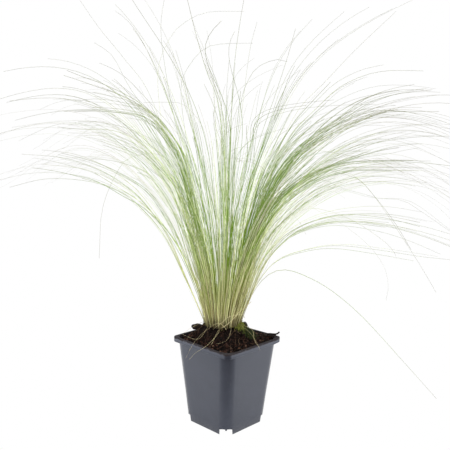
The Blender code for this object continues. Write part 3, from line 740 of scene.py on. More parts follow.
def soil_ring(z, share):
    """An outline of the soil from the middle of the crown (share 0) to the pot's wall (share 1)."""
    inset = WALL + GAP
    rise = z / POT_HEIGHT
    half = (FOOT_WIDTH + (WALL_TOP_WIDTH - FOOT_WIDTH) * rise) / 2 - inset
    corner = FOOT_CORNER + (WALL_TOP_CORNER - FOOT_CORNER) * rise - inset
    angles = (np.arange(SOIL_SIDES) + 0.5) / SOIL_SIDES * 2 * math.pi
    reach = np.array([square_reach(a, half, corner) for a in angles])
    wall = np.stack([np.cos(angles) * reach, np.sin(angles) * reach], axis=1)
    return np.array([CROWN_X, CROWN_Y]) * (1 - share) + wall * share


def lumps(x, y, length):
    """The low swells of the soil, as the solid has them."""
    u, v = x / length * 2 * math.pi, y / length * 2 * math.pi
    broad = np.sin(u + 0.8 * v + 0.4) * np.cos(v - 0.5 * u + 1.1)
    fine = np.sin(2.3 * u - 1.7 * v + 2.0) * np.cos(1.9 * v + 1.4 * u)
    return 0.6 * broad + 0.4 * fine


def soil_height(x, y):
    """The peat's surface over points of the pot, mounded at the crown, with lumps and crumbs."""
    x, y = np.asarray(x, float), np.asarray(y, float)
    edge = POT_HEIGHT - SOIL_EDGE_DROP + SOIL_FILL
    pit = CROWN_RADIUS + 2 * GAP
    half = WALL_TOP_WIDTH / 2 - WALL - GAP
    far = np.hypot(x - CROWN_X, y - CROWN_Y) + 1e-9
    way_x, way_y = (x - CROWN_X) / far, (y - CROWN_Y) / far
    to_x = (np.copysign(half, way_x) - CROWN_X) / np.where(way_x == 0, 1e-9, way_x)
    to_y = (np.copysign(half, way_y) - CROWN_Y) / np.where(way_y == 0, 1e-9, way_y)
    out = np.clip((far - pit) / (np.minimum(to_x, to_y) - pit), 0.0, 1.0)
    mound = (MOUND_TOP - edge) * (1 - out ** (1 / 0.85)) ** MOUND_POWER
    flat = np.stack([x, y, np.zeros_like(x)], axis=-1)
    crumbly = 0.8 * rough(flat, ROUGH_LUMP) + 0.5 * rough(flat + 1, ROUGH_GRAIN)
    return edge + mound + SOIL_RELIEF * lumps(x, y, SOIL_LUMP) + crumbly * MM


def make_soil(material):
    """The block of peat, from the pot's floor to a rough top."""
    rings = []
    for z in (FLOOR + GAP, 30 * MM, 60 * MM, 90 * MM):
        flat = soil_ring(z, 1.0)
        rings.append(np.column_stack([flat, np.full(len(flat), z)]))
    for k in range(SOIL_TOP_RINGS):
        share = 1 - k / SOIL_TOP_RINGS
        flat = soil_ring(POT_HEIGHT - SOIL_EDGE_DROP, share)
        rings.append(np.column_stack([flat, soil_height(flat[:, 0], flat[:, 1])]))
    bm = bmesh.new()
    skin(bm, [[tuple(p) for p in ring] for ring in rings])
    soil = object_of("soil_block", bm, material)
    grown, top = NOTCH_WIDTH / 2 + FLOOR + GAP, NOTCH_HEIGHT + FLOOR + GAP
    roof = ((-grown, -CUT), (grown, -CUT), (grown, top), (-grown, top))
    cut(soil, *under_corners(roof, NOTCH_INNER - FLOOR - GAP, CORNER_REACH + CUT))
    soil.data.shade_smooth()
    place(soil, "peat_soil", "soil")


def scattered(number, rng, inner):
    """Points of the soil's top, outside a radius round the crown."""
    half = (WALL_TOP_WIDTH / 2 - WALL - SCATTER_EDGE) * SCATTER_SHARE
    corner = WALL_TOP_CORNER - WALL
    spots = []
    while len(spots) < number:
        x, y = rng.uniform(-half, half, 2)
        far = math.hypot(x, y)
        inside = far < square_reach(math.atan2(y, x), half, corner)
        if inside and math.hypot(x - CROWN_X, y - CROWN_Y) > inner:
            spots.append((x, y))
    return np.array(spots)


def make_crumbs(material):
    """Loose grains of peat: jittered twenty-sided lumps, few large and many small."""
    rng = np.random.default_rng(SEED + 1)
    bm = bmesh.new()
    bmesh.ops.create_icosphere(bm, subdivisions=1, radius=1.0)
    unit = np.array([v.co[:] for v in bm.verts])
    sides = [[v.index for v in f.verts] for f in bm.faces]
    bm.free()
    spots = scattered(CRUMBS, rng, CROWN_RADIUS - 3 * MM)
    size = CRUMB_LEAST + CRUMB_MORE * rng.random(CRUMBS) ** 4
    stretch = rng.uniform(0.6, 1.3, (CRUMBS, 1, 3))
    jitter = rng.uniform(0.72, 1.15, (CRUMBS, len(unit), 1))
    turn = rng.uniform(0, 2 * math.pi, CRUMBS)
    grains = unit[None] * stretch * jitter * size[:, None, None]
    c, s = np.cos(turn)[:, None], np.sin(turn)[:, None]
    x = grains[..., 0] * c - grains[..., 1] * s + spots[:, 0, None]
    y = grains[..., 0] * s + grains[..., 1] * c + spots[:, 1, None]
    lift = soil_height(spots[:, 0], spots[:, 1]) + size * 0.35
    z = grains[..., 2] + lift[:, None]
    points = np.stack([x, y, z], axis=-1).reshape(-1, 3)
    faces = [[i + k * len(unit) for i in side] for k in range(CRUMBS) for side in sides]
    crumbs = add_mesh("soil_crumbs", points, faces, material, smooth=False)
    # Crumbs close to the crown are darker: painted shade under the tussock.
    away = np.hypot(spots[:, 0] - CROWN_X, spots[:, 1] - CROWN_Y) - CROWN_RADIUS
    shaded_near_crown = np.interp(away, (2 * MM, 16 * MM), (0.45, 1.0))
    paint(crumbs, "tone", np.repeat(rng.random(CRUMBS) * shaded_near_crown, len(unit)))
    place(crumbs, "peat_soil")


def threads(lines, radii, spin):
    """Tubes along lines (count, points, 3), each turned about itself by its spin."""
    along = np.gradient(lines, axis=1)
    along /= np.linalg.norm(along, axis=2, keepdims=True) + 1e-12
    side = np.tile(np.array([1.0, 0.0, 0.0]), (len(lines), 1))
    steep = np.abs(along[:, 0, 0]) > 0.9
    side[steep] = (0.0, 1.0, 0.0)
    ring = np.empty((*lines.shape[:2], THREAD_SIDES, 3))
    for i in range(lines.shape[1]):
        side = side - along[:, i] * np.sum(side * along[:, i], axis=1, keepdims=True)
        side /= np.linalg.norm(side, axis=1, keepdims=True) + 1e-12
        other = np.cross(along[:, i], side)
        for k in range(THREAD_SIDES):
            angle = (spin + k / THREAD_SIDES * 2 * math.pi)[:, None]
            ring[:, i, k] = side * np.cos(angle) + other * np.sin(angle)
    return lines[:, :, None] + ring * radii[:, :, None, None]


def thread_faces(count, points):
    """Quads along each tube and a cap at both ends."""
    index = np.arange(count * points * THREAD_SIDES).reshape(count, points, THREAD_SIDES)
    nearer, further = index[:, :-1], index[:, 1:]
    corners = [nearer, np.roll(nearer, -1, axis=2), np.roll(further, -1, axis=2), further]
    quads = np.stack(corners, axis=-1).reshape(-1, 4)
    caps = np.concatenate([index[:, 0, ::-1], index[:, -1]])
    return quads.tolist() + caps.tolist()


def make_fibres(material):
    """Root and peat fibres that lie curled over the surface, and the scraps at the rim."""
    rng = np.random.default_rng(SEED + 2)
    spots = scattered(FIBRES, rng, CROWN_RADIUS)
    length = rng.uniform(4, 15, FIBRES) * MM
    heading = rng.uniform(0, 2 * math.pi, FIBRES)
    curl = rng.normal(0, 1.1, FIBRES)
    share = np.linspace(-0.5, 0.5, FIBRE_POINTS)
    angle = heading[:, None] + curl[:, None] * share
    step, half = length[:, None] / (FIBRE_POINTS - 1), length[:, None] / 2
    x = spots[:, 0, None] + np.cumsum(np.cos(angle) * step, axis=1) - half * np.cos(heading)[:, None]
    y = spots[:, 1, None] + np.cumsum(np.sin(angle) * step, axis=1) - half * np.sin(heading)[:, None]
    limit = WALL_TOP_WIDTH / 2 - WALL - 1.5 * MM
    x, y = np.clip(x, -limit, limit), np.clip(y, -limit, limit)
    arch = rng.uniform(0.2, 1.6, FIBRES)[:, None] * MM * (1 - (2 * share) ** 2)
    z = soil_height(x, y) + 0.5 * MM + arch
    lines = np.stack([x, y, z], axis=-1)
    radii = np.full(x.shape, FIBRE_RADIUS) * rng.uniform(0.7, 1.5, FIBRES)[:, None]
    scraps = np.array([smooth_line(near_crown(points), FIBRE_POINTS) for points in SCRAPS])
    lines = np.concatenate([lines, scraps])
    radii = np.concatenate([radii, np.full(scraps.shape[:2], SCRAP_RADIUS)])
    tone = np.concatenate([rng.random(FIBRES), np.zeros(len(scraps))])
    count = len(lines)
    points = threads(lines, radii, rng.uniform(0, 2, count))
    fibres = add_mesh("soil_fibres", points.reshape(-1, 3), thread_faces(count, FIBRE_POINTS), material)
    paint(fibres, "tone", np.repeat(tone, FIBRE_POINTS * THREAD_SIDES))
    place(fibres, "peat_soil")


def make_chip(node, material):
    """A bark chip: the solid's hull with split layers and a broken surface."""
    bm = bmesh.new()
    bm.from_mesh(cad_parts[node].data)
    bmesh.ops.remove_doubles(bm, verts=bm.verts, dist=0.01 * MM)
    bmesh.ops.subdivide_edges(bm, edges=bm.edges, cuts=CHIP_CUTS, use_grid_fill=True, smooth=0.35)
    bm.normal_update()
    places = np.array([v.co[:] for v in bm.verts])
    layered = rough(places * np.array([0.35, 0.35, 1.6]), CHIP_LAYER) * 0.45
    broken = rough(places, CHIP_BREAK) * 0.3
    for vertex, push in zip(bm.verts, (layered + broken) * MM):
        vertex.co += vertex.normal * push
    chip = object_of(node.replace("chip", "piece"), bm, material)
    chip.data.shade_smooth()
    chip.data.set_sharp_from_angle(angle=CHIP_CREASE)
    place(chip, "bark", node)


def make_moss(material):
    """Short shoots crowded over the cushion, of which some climb the crown and a few stray on the peat."""
    rng = np.random.default_rng(SEED + 3)
    low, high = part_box("moss_cushion")
    middle, half = (low + high) / 2, (high - low) / 2
    number = MOSS_SHOOTS
    angle = rng.uniform(0, 2 * math.pi, number)
    share = np.sqrt(rng.random(number))
    share[np.arange(number) > number * (1 - MOSS_STRAY_SHARE)] *= MOSS_STRAY_REACH
    x = middle.x + np.cos(angle) * share * half.x
    y = middle.y + np.sin(angle) * share * half.y
    dome = MOSS_DOME * np.clip(1 - share**2, 0, 1)
    climbing = np.arange(number) < MOSS_CLIMBING
    round_crown = rng.normal(MOSS_AZIMUTH, MOSS_SPREAD, number)
    away = rng.uniform(0.5, 4.5, number) * MM
    x = np.where(climbing, CROWN_X + (CROWN_RADIUS + away) * np.cos(round_crown), x)
    y = np.where(climbing, CROWN_Y + (CROWN_RADIUS + away) * np.sin(round_crown), y)
    dome = np.where(climbing, rng.uniform(0, 1, number) * (MOSS_CLIMB - away), dome)
    ground = soil_height(x, y)
    from_crown = np.hypot(x - CROWN_X, y - CROWN_Y)
    near = np.clip((CROWN_RADIUS + MOSS_NEAR - from_crown) / MOSS_FADE, 0, 1)
    length = rng.uniform(1.2, 3.0, number)[:, None] * MM
    outward = np.stack([np.cos(angle), np.sin(angle)], 1) * share[:, None]
    lean = rng.normal(0, 0.35, (number, 2)) + outward * 0.5
    along = np.array([0.0, 0.35, 0.7, 1.0])
    rise = along * length + (ground + dome - MOSS_SINK)[:, None]
    across = x[:, None] + lean[:, 0, None] * along**1.3 * length
    back = y[:, None] + lean[:, 1, None] * along**1.3 * length
    lines = np.stack([across, back, rise], axis=-1)
    wide = np.array([0.28, 0.34, 0.26, 0.05]) * MM
    points = threads(lines, wide * rng.uniform(0.7, 1.3, (number, 1)), rng.uniform(0, 2, number))
    moss = add_mesh("moss_shoots", points.reshape(-1, 3), thread_faces(number, len(along)), material)
    tone = np.clip(near + rng.normal(0, 0.2, number), 0, 1)
    paint(moss, "along", np.tile(np.repeat(along, THREAD_SIDES), number))
    paint(moss, "tone", np.repeat(tone, len(along) * THREAD_SIDES))
    place(moss, "moss", "moss_cushion")


# ---------------------------------------------------------------- grass


def clip(polygon, normal, limit):
    """The part of a convex polygon where point . normal is at most limit."""
    kept = []
    for a, b in zip(polygon, polygon[1:] + polygon[:1]):
        over_a, over_b = a.dot(normal) - limit, b.dot(normal) - limit
        if over_a <= 0:
            kept.append(a)
        if over_a * over_b < 0:
            kept.append(a.lerp(b, over_a / (over_a - over_b)))
    return kept


def thinned(polygon, least):
    """The polygon without the points that are too close to the one before."""
    kept = []
    for i, point in enumerate(polygon):
        if (point - polygon[i - 1]).length > least:
            kept.append(point)
    return kept


def tuft_sites(rng):
    """The middles of the tufts, in rings round the crown's middle."""
    sites = []
    for number, radius, _ in TUFT_RINGS:
        for k in range(number):
            angle = (k + 0.5 * (number > 6)) / number * 2 * math.pi + rng.uniform(-0.06, 0.06)
            far = radius + rng.uniform(-TUFT_SHIFT, TUFT_SHIFT)
            sites.append(Vector((far * math.cos(angle), far * math.sin(angle))))
    return sites


def cell(sites, k, inset):
    """What lies nearer to one site than to the others, in the crown's circle, drawn in by inset."""
    reach = CROWN_RADIUS - inset
    angles = [i / CROWN_SIDES * 2 * math.pi for i in range(CROWN_SIDES)]
    polygon = [Vector((reach * math.cos(a), reach * math.sin(a))) for a in angles]
    for other, site in enumerate(sites):
        if other != k:
            apart = site - sites[k]
            normal = apart.normalized()
            polygon = clip(polygon, normal, normal.dot((site + sites[k]) / 2) - inset)
    return thinned(polygon, LEAST_SIDE)


def inside(polygon, point):
    """Whether a point lies in a convex polygon that runs anticlockwise."""
    for a, b in zip(polygon, polygon[1:] + polygon[:1]):
        if (b.x - a.x) * (point.y - a.y) - (b.y - a.y) * (point.x - a.x) < 0:
            return False
    return True


def spread_points(polygon, number, rng):
    """Points spread evenly in a polygon: each is the best of several draws."""
    low_x, high_x = min(p.x for p in polygon), max(p.x for p in polygon)
    low_y, high_y = min(p.y for p in polygon), max(p.y for p in polygon)
    points = []
    while len(points) < number:
        draws = []
        while len(draws) < ROOT_DRAWS:
            draw = Vector((rng.uniform(low_x, high_x), rng.uniform(low_y, high_y)))
            if inside(polygon, draw):
                draws.append(draw)
        points.append(max(draws, key=lambda d: min([(d - p).length for p in points] or [1.0])))
    return points


def blades_of(k):
    """How many blades the solid tuft of that number has."""
    for number, _, blades in TUFT_RINGS:
        if k < number:
            return blades
        k -= number


def tuft_plans():
    """For each tuft its site, and the roots and lengths of its solid blades, drawn as for the solids."""
    rng = random.Random(SEED)
    sites = tuft_sites(rng)
    lean_way = Vector(LEAN_WAY)
    plans = []
    for k in range(len(sites)):
        rng.uniform(11, 20)  # the solid core's height
        roots, lengths = spread_points(cell(sites, k, BLADE_ROOM), blades_of(k), rng), []
        for root in roots:
            longest = BLADE_LONGEST - MIDDLE_SHORTER * (1 - root.length / CROWN_RADIUS)
            longest *= 1 + LEAN_LENGTH * root.normalized().dot(lean_way)
            lengths.append(longest - (longest - BLADE_SHORTEST) * rng.random() ** 1.1)
            rng.uniform(0, 2)  # the solid blade's spin
        plans.append((np.array([p[:] for p in roots]), np.array(lengths)))
    return np.array([p[:] for p in sites]), plans


def tilt(share, azimuth, s):
    """A blade's angle from the vertical at arc length s. It grows with s and towards the edge."""
    lean = np.cos(azimuth - LEAN_AZIMUTH)
    rise = (ARCH_RISE_EDGE + ARCH_RISE_MIDDLE * np.sqrt(1 - share)) * (1 - LEAN_RISE * (1 + lean))
    bent = 1 - np.exp(-((s / rise) ** ARCH_BEND))
    return CROWN_TILT * share**2 + ARCH_TILT * (1 + LEAN_TILT * lean) * share**ARCH_POWER * bent


def heading(azimuth, s):
    """The way that a blade points: it turns to one of two lobes as it rises, more to the leaning side."""
    turn = azimuth - LEAN_AZIMUTH
    risen = 1 - np.exp(-((s / LOBE_RISE) ** 2))
    return azimuth - risen * (LOBE_PULL / 2 * np.sin(2 * turn) + LEAN_PULL * np.sin(turn))


def sway(points, s):
    """A drift that blades close to each other share and that grows along them."""
    x, y, z = np.moveaxis(points / SWAY_LENGTH * 2 * math.pi, -1, 0)
    push = np.stack(
        [
            np.sin(y + 0.7 * z + 0.3) + 0.5 * np.sin(1.9 * y - 1.3 * x + 2.2),
            np.sin(x - 0.8 * z + 1.9) + 0.5 * np.sin(1.7 * x + 1.5 * z + 0.6),
            0.7 * np.sin(x + y + 4.1),
        ],
        axis=-1,
    )
    return push * (SWAY * (s / SWAY_REACH) ** 1.3)[..., None]


def fountain(roots, s, bend=1.0, swirl=0.0):
    """Where arc length s of the blades through points of the crown lies.

    bend scales how far a blade arches and swirl turns its heading as it rises.
    """
    radius = np.hypot(roots[..., 0], roots[..., 1])
    azimuth = np.arctan2(roots[..., 1], roots[..., 0])
    share = np.clip(radius / CROWN_RADIUS, 0.0, 1.0)
    part = (np.arange(ARCH_STEPS) + 0.5) / ARCH_STEPS * s[..., None]
    angle = tilt(share[..., None], azimuth[..., None], part)
    angle = angle * (1 + (np.asarray(bend)[..., None] - 1) * np.clip(part / BEND_RISE, 0, 1))
    out = radius + np.sin(angle).mean(axis=-1) * s
    up = np.cos(angle).mean(axis=-1) * s
    way = heading(azimuth, s) + swirl * (s / SWAY_REACH) ** 1.2
    points = np.stack([CROWN_X + out * np.cos(way), CROWN_Y + out * np.sin(way), CROWN_Z + up], axis=-1)
    return points + sway(points, s)


def clump_pull(site, roots):
    """How far each blade draws in as it rises: to its tuft's middle and to that of its own clump.

    A clump is the roots nearest to one of the first, which are spread well.
    """
    seeds = roots[: max(2, len(roots) // 3)]
    own = np.argmin(np.linalg.norm(roots[:, None] - seeds, axis=2), axis=1)
    middles = np.array([roots[own == k].mean(axis=0) for k in own])
    return (site - roots) * TUFT_PULL + (middles - roots) * CLUMP_PULL


def grow(roots, pull, length, bend, swirl, wave):
    """Centre lines of blades, which draw in by pull as they rise.

    wave holds each blade's height, length and start of a slight to and fro.
    """
    s = np.linspace(0, 1, BLADE_POINTS) * length[:, None]
    draw_in = np.minimum(1.0, s / GATHER_RISE)[..., None]
    gathered = roots[:, None] + pull[:, None] * draw_in
    lines = fountain(gathered, s, bend[:, None], swirl[:, None])
    height, span, start = wave.T[:, :, None]
    push = height * np.sin(s / span * 2 * math.pi + start) * (s / SWAY_REACH)
    turn = start * 3
    lines += np.stack([np.cos(turn) * push, np.sin(turn) * push, 0 * push], axis=-1)
    lines[:, 0, 2] -= BLADE_SINK
    return lines


def smooth_line(passed, points):
    """Evenly spaced points on a smooth curve through the given ones."""
    passed = np.asarray(passed, float)
    ends = np.vstack([2 * passed[0] - passed[1], passed, 2 * passed[-1] - passed[-2]])
    t = np.linspace(0, 1, 12, endpoint=False)[:, None]
    fine = []
    for k in range(1, len(ends) - 2):
        a, b, c, d = ends[k - 1 : k + 3]
        squared, cubed = 2 * a - 5 * b + 4 * c - d, 3 * b - a - 3 * c + d
        fine.append(0.5 * (2 * b + (c - a) * t + squared * t**2 + cubed * t**3))
    fine = np.vstack([*fine, passed[-1:]])
    far = np.concatenate([[0], np.cumsum(np.linalg.norm(np.diff(fine, axis=0), axis=1))])
    at = np.linspace(0, far[-1], points)
    return np.stack([np.interp(at, far, fine[:, i]) for i in range(3)], axis=1)


def strands(lines, base, tip, rng, dry, tone=None, slim=1.0):
    """Blades ready to be joined: lines, thickness and what the material reads for each of them.

    base and tip are the radii at a blade's two ends, which are scaled by slim and by a draw for each blade.
    """
    count = len(lines)
    length = np.linalg.norm(np.diff(lines, axis=1), axis=2).sum(axis=1)
    along = np.linspace(0, 1, BLADE_POINTS)
    thick = ((0.6 + 0.7 * rng.random(count) ** 1.5) * slim)[:, None]
    return {
        "lines": lines,
        "radii": (tip + (base - tip) * (1 - along**1.5)) * thick,
        "spin": rng.uniform(0, 2, count),
        "rise": along * length[:, None] / BLADE_LONGEST,
        "tipward": np.tile(along, (count, 1)),
        "tone": rng.random(count) if tone is None else tone,
        "dry": dry,
    }


def tuft_blades(site, roots, lengths, rng):
    """The solids' blades, and finer ones that spring from some of the same shoots.

    Blades at the crown's edge are slimmer, paler and more often dry. Those in its core and those on the side
    away from the lean are slimmer too.
    """
    sets = []
    share_out = np.hypot(*roots.T) / CROWN_RADIUS
    outer, inner = np.clip((share_out - 0.6) / 0.3, 0, 1), np.clip((0.55 - share_out) / 0.2, 0, 1)
    pull = clump_pull(site, roots)
    for finer in (False, True):
        if finer:
            kept = rng.random(len(roots)) < COMPANION_SHARE * (1 - 0.8 * outer)
            roots, lengths, pull = roots[kept], lengths[kept], pull[kept]
            outer, inner = outer[kept], inner[kept]
        count = len(roots)
        near = roots + rng.normal(0, 0.5 * MM, (count, 2)) * finer
        near *= 1 - 0.12 * finer
        share = rng.uniform(0.35, 0.85, count) if finer else np.ones(count)
        bend = rng.normal(1.0, 0.05 if finer else 0.02, count)
        swirl = rng.normal(0.0, 0.08 if finer else 0.03, count)
        height = rng.uniform(0.5, 3.0, count) * MM
        wave = np.stack([height, rng.uniform(120, 300, count) * MM, rng.uniform(0, 6.28, count)], axis=1)
        lines = grow(near, pull, lengths * share, bend, swirl, wave)
        dry = (rng.random(count) < 0.1 + 0.4 * outer) * rng.uniform(0.6, 1.0, count)
        tone = rng.random(count) ** (1.3 - 0.6 * outer)
        base, tip = (0.29 * MM, 0.14 * MM) if finer else (0.36 * MM, 0.17 * MM)
        away = np.clip(-roots @ LEAN_WAY / (8 * MM), 0, 1)
        slim = (1 - 0.6 * outer - 0.2 * inner) * (1 - 0.25 * away)
        sets.append(strands(lines, base, tip, rng, dry, tone, slim))
    return sets


def tuft_sheaths(site, rng):
    """Straw-coloured sheaths round the foot of the blades, shorter and slimmer at the crown's edge."""
    count = SHEATHS_PER_TUFT
    turn = rng.uniform(0, 2 * math.pi, count)
    far = np.sqrt(rng.random(count)) * SHEATH_SPREAD
    roots = site + np.stack([np.cos(turn) * far, np.sin(turn) * far], axis=1)
    radius = np.hypot(roots[:, 0], roots[:, 1])
    roots *= np.minimum(1, 0.97 * CROWN_RADIUS / (radius + 1e-9))[:, None]
    height, span = rng.uniform(0, 9, count) * MM, np.full(count, SHEATH_WAVE)
    wave = np.stack([height, span, rng.uniform(0, 6.28, count)], axis=1)
    outer = np.clip((np.hypot(*roots.T) / CROWN_RADIUS - 0.6) / 0.3, 0, 1)
    length = rng.uniform(30, 95, count) * MM * (1 - 0.35 * outer)
    pull = (site - roots) * 0.25
    lines = grow(roots, pull, length, rng.normal(1, 0.1, count), rng.normal(0, 0.25, count), wave)
    dry = rng.uniform(0.0, 0.85, count)
    return strands(lines, 0.85 * MM, 0.28 * MM, rng, dry, slim=1 - 0.4 * outer)


def crown_edge(azimuth):
    """A root just inside the crown's edge."""
    return np.array([math.cos(azimuth), math.sin(azimuth)]) * (CROWN_RADIUS - EDGE_INSET)


def stray_lines(rng):
    """Low blades in small bunches: the first of each takes the given path and the rest part from it."""
    bunches = []
    for azimuth, tip_azimuth, number, passed in STRAY_BLADES:
        root = crown_edge(math.radians(azimuth))
        for k in range(number):
            loose = 0.0 if k == 0 else 1.0
            turned = rng.normal(0, 5) * loose
            wide = 1 + rng.normal(0, 0.05) * loose
            high = 1 + rng.normal(0, 0.05) * loose
            keep = len(passed) if k == 0 else rng.integers(len(passed) - 2, len(passed) + 1)
            line = [(CROWN_X + root[0], CROWN_Y + root[1], CROWN_Z - SINGLE_SINK)]
            for i, (out, up) in enumerate(passed[:keep]):
                share = (i + 1) / len(passed)
                way = math.radians(azimuth + (tip_azimuth - azimuth) * share + turned * share)
                reach = out * MM * (1 + (wide - 1) * share)
                rise = CROWN_Z + (up * MM - CROWN_Z) * (1 + (high - 1) * share)
                line.append((CROWN_X + reach * math.cos(way), CROWN_Y + reach * math.sin(way), rise))
            bunches.append((root, smooth_line(line, BLADE_POINTS)))
    return bunches


def fallen_lines():
    """Dead blades that bow out of the crown, clear the rim and hang down to their tips."""
    bunches = []
    for azimuth, tip_azimuth, reach, tip_z, bow_rise in FALLEN_BLADES:
        angle, far = math.radians(azimuth), math.radians(tip_azimuth)
        root = crown_edge(angle)
        foot = np.array([CROWN_X + root[0], CROWN_Y + root[1], CROWN_Z + 5 * MM])
        tip = np.array([reach * math.cos(far), reach * math.sin(far), tip_z])
        bow = foot + (tip - foot) * FALLEN_BOW
        bow[2] = foot[2] + 4 * MM + bow_rise
        t = np.linspace(0, 1, BLADE_POINTS)[:, None]
        bunches.append((root, foot * (1 - t) ** 2 + bow * 2 * t * (1 - t) + tip * t**2))
    return bunches


def path_line(behind, passed):
    """A root, and a line that passes points given right and up in mm and ends behind or in front of them."""
    line = []
    for i, (right, up) in enumerate(passed):
        spot = CAMERA_RIGHT * right * MM - CAMERA_FRONT * behind * MM * i / (len(passed) - 1)
        line.append((CROWN_X + spot[0], CROWN_Y + spot[1], up * MM))
    x, y, _ = line[0]
    foot = (x * 0.9 + CROWN_X * 0.1, y * 0.9 + CROWN_Y * 0.1, CROWN_Z - SINGLE_SINK)
    return CAMERA_RIGHT * passed[0][0] * MM * 0.9, [foot, *line]


def hair_lines(hairs):
    """Single hairs on the paths of a table."""
    bunches = []
    for behind, passed in hairs:
        root, line = path_line(behind, passed)
        bunches.append((root, smooth_line(line, BLADE_POINTS)))
    return bunches


def lock_lines(rng):
    """Green blades that run side by side and part a little towards their tips."""
    bunches = []
    for behind, number, passed in LOCKS:
        root, line = path_line(behind, passed)
        line = np.array(line)
        share = (np.arange(len(line)) / (len(line) - 1))[:, None]
        for _ in range(number):
            part = rng.normal(0, 1, 3) * LOCK_SPREAD * share
            start = rng.normal(0, LOCK_ROOT, 2)
            near = line + part
            near[:, :2] += start * (1 - share)
            whole = smooth_line(near, LOCK_POINTS)
            kept = int(LOCK_POINTS * rng.uniform(LOCK_SHORTEST, 1.0))
            bunches.append((root + start, smooth_line(whole[:kept:3], BLADE_POINTS)))
    return bunches


def near_crown(points):
    """Points given in mm to the right and in front of the crown as the camera looks, and up."""
    right, ahead, up = np.array(points, float).T * MM
    flat = right[:, None] * CAMERA_RIGHT + ahead[:, None] * CAMERA_FRONT + (CROWN_X, CROWN_Y)
    return np.column_stack([flat, up])


def straw_lines(straws):
    """Straws near the foot, each rooted where it starts."""
    bunches = []
    for points in straws:
        line = smooth_line(near_crown(points), BLADE_POINTS)
        bunches.append((line[0, :2] - (CROWN_X, CROWN_Y), line))
    return bunches


def single_strands(rng, sites, k, bunches, base, tip, dry, tone_power):
    """Those of the single lines that are rooted nearest to one tuft.

    dry holds the least and the most dryness, and the higher tone_power is, the lower are most tones.
    """
    own = [line for root, line in bunches if np.argmin(np.linalg.norm(sites - root, axis=1)) == k]
    if not own:
        return []
    count = len(own)
    dryness = rng.uniform(*dry, count)
    return [strands(np.array(own), base, tip, rng, dryness, rng.random(count) ** tone_power)]


def make_tufts(material):
    """One piece for each tuft of the tussock."""
    rng = np.random.default_rng(SEED)
    sites, plans = tuft_plans()
    # For each kind: its lines, radii at root and tip, least and most dryness, power of the tones
    kinds = (
        (stray_lines(rng), 0.28 * MM, 0.14 * MM, (0.1, 0.5), 1.3),
        (fallen_lines(), 0.16 * MM, 0.12 * MM, (0.9, 1.0), 0.1),
        (straw_lines(STRAWS), 0.17 * MM, 0.14 * MM, (0.9, 1.0), 0.1),
        (hair_lines(HAIRS), 0.33 * MM, 0.19 * MM, (0.0, 0.6), 2.5),
        (hair_lines(DROOPING_HAIRS), 0.2 * MM, 0.13 * MM, (0.2, 0.7), 1.0),
        (lock_lines(rng), 0.42 * MM, 0.17 * MM, (0.0, 0.2), 1.6),
        (straw_lines(BOWED_STRAWS), 0.44 * MM, 0.34 * MM, (0.9, 1.0), 4.0),
    )
    for k, (roots, lengths) in enumerate(plans):
        sets = tuft_blades(sites[k], roots, lengths, rng)
        sets.append(tuft_sheaths(sites[k], rng))
        for kind in kinds:
            sets += single_strands(rng, sites, k, *kind)
        own = {key: np.concatenate([one[key] for one in sets]) for key in sets[0]}
        count = len(own["lines"])
        points = threads(own["lines"], own["radii"], own["spin"])
        name = f"grass_tuft_{k + 1:02d}"
        tuft = add_mesh(name, points.reshape(-1, 3), thread_faces(count, BLADE_POINTS), material)
        for key in ("rise", "tipward"):
            paint(tuft, key, np.repeat(own[key], THREAD_SIDES))
        for key in ("tone", "dry"):
            paint(tuft, key, np.repeat(own[key], BLADE_POINTS * THREAD_SIDES))
        lay_out(tuft.data, count)
        place(tuft, "grass_blade", f"tuft_{k + 1:02d}")


def lay_out(mesh, count):
    """A map with one narrow column for each blade, its root at the bottom."""
    layer = mesh.uv_layers.new(name="OFBake")
    corners = np.empty(len(mesh.loops), np.int32)
    mesh.loops.foreach_get("vertex_index", corners)
    blade, rest = np.divmod(corners, BLADE_POINTS * THREAD_SIDES)
    point, side = np.divmod(rest, THREAD_SIDES)
    u = (blade + 0.15 + side * 0.35) / count
    v = point / (BLADE_POINTS - 1)
    layer.data.foreach_set("uv", np.column_stack([u, v]).astype(np.float32).ravel())


# ---------------------------------------------------------------- stage


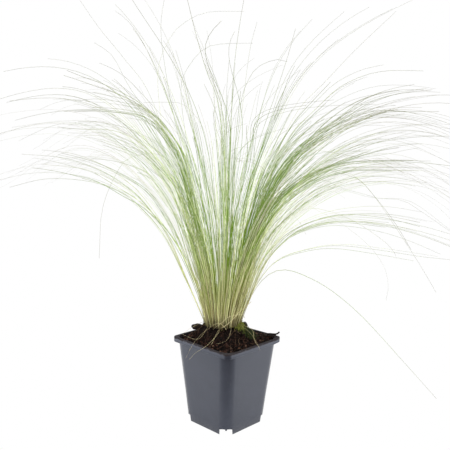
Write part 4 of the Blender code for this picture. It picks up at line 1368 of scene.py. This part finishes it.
def make_stage():
    """A white floor, soft boxes at both sides and overhead, and a white surround."""
    bm = bmesh.new()
    bmesh.ops.create_grid(bm, x_segments=1, y_segments=1, size=6.0)
    floor = object_of("floor", bm)
    material, nodes, shader, where = new_material("white_floor", 0.9, 0.2)
    shader.inputs["Emission Color"].default_value = (1, 1, 1, 1)
    seen = nodes.add("ShaderNodeLightPath").outputs["Is Camera Ray"]
    ahead = nodes.dot(where, (*CAMERA_FRONT, 0.0))
    shade = nodes.span(ahead, 0.03, 0.2, 0.8, 0.12)
    nodes.feed(shader, "Base Color", nodes.mix(seen, shade, (0, 0, 0, 1)))
    nodes.feed(shader, "Specular IOR Level", nodes.span(seen, 0.0, 1.0, 0.2, 0.0))
    glow = nodes.span(ahead, 0.03, 0.2, 0.3, 0.04)
    nodes.feed(shader, "Emission Strength", nodes.maths("MAXIMUM", seen, glow))
    floor.data.materials.append(material)

    world = bpy.data.worlds.new("white_surround")
    world.use_nodes = True
    bpy.context.scene.world = world
    nodes = Nodes(world.node_tree)
    back = world.node_tree.nodes["Background"]
    back.inputs["Color"].default_value = (1, 1, 1, 1)
    way = nodes.add("ShaderNodeTexCoord").outputs["Generated"]
    facing = nodes.dot(way, (*CAMERA_FRONT, 0.1))
    around = nodes.span(facing, -0.1, 0.85, 0.95, 0.1)
    seen = nodes.add("ShaderNodeLightPath").outputs["Is Camera Ray"]
    nodes.feed(back, "Strength", nodes.maths("MAXIMUM", around, seen))

    right, front = Vector((*CAMERA_RIGHT, 0.0)), Vector((*CAMERA_FRONT, 0.0))
    soft_box("soft_box_left", right * -1.2 + Vector((0, 0, 0.45)), 1.0, 13.0)
    soft_box("soft_box_right", right * 1.2 + Vector((0, 0, 0.45)), 1.0, 13.0)
    soft_box("soft_box_top", Vector((0, 0, 1.6)), 1.2, 8.0)
    fill = soft_box("soft_box_front", front * 1.5 + Vector((0, 0, 0.6)), 1.0, 36.0)
    fill.visible_glossy = False


def soft_box(name, where, size, power):
    """A square light that faces the plant."""
    light = bpy.data.lights.new(name, "AREA")
    light.shape, light.size, light.energy = "SQUARE", size, power
    lamp = bpy.data.objects.new(name, light)
    lamp.location = where
    lamp.rotation_mode = "QUATERNION"
    lamp.rotation_quaternion = (where - Vector((0, 0, 0.2))).to_track_quat("Z", "Y")
    bpy.context.scene.collection.objects.link(lamp)
    return lamp


def make_camera():
    """A view of a front corner that looks a little down, with the whole plant in the frame."""
    data = bpy.data.cameras.new("camera")
    data.lens, data.sensor_width = CAMERA_LENS, 36.0
    data.clip_start, data.clip_end = 0.01, 50.0
    camera = bpy.data.objects.new("camera", data)
    camera.location = CAMERA_PLACE
    camera.rotation_mode = "QUATERNION"
    forward = Vector((*(-CAMERA_FRONT * math.cos(CAMERA_PITCH)), -math.sin(CAMERA_PITCH)))
    turn = Matrix.Rotation(CAMERA_ROLL, 4, "Z").to_quaternion()
    camera.rotation_quaternion = forward.to_track_quat("-Z", "Y") @ turn
    bpy.context.scene.collection.objects.link(camera)
    bpy.context.scene.camera = camera
    bpy.context.scene.view_settings.view_transform = "Standard"


def main():
    make_camera()
    make_stage()
    group = speckle_group()
    make_pot(pot_plastic())
    make_soil(peat(group))
    make_crumbs(crumb_peat(group))
    make_fibres(fibre())
    bark_material = bark(group)
    for node in ("bark_chip_left", "bark_chip_crown", "bark_chip_right"):
        make_chip(node, bark_material)
    make_moss(moss_green())
    make_tufts(blade_green())


main()
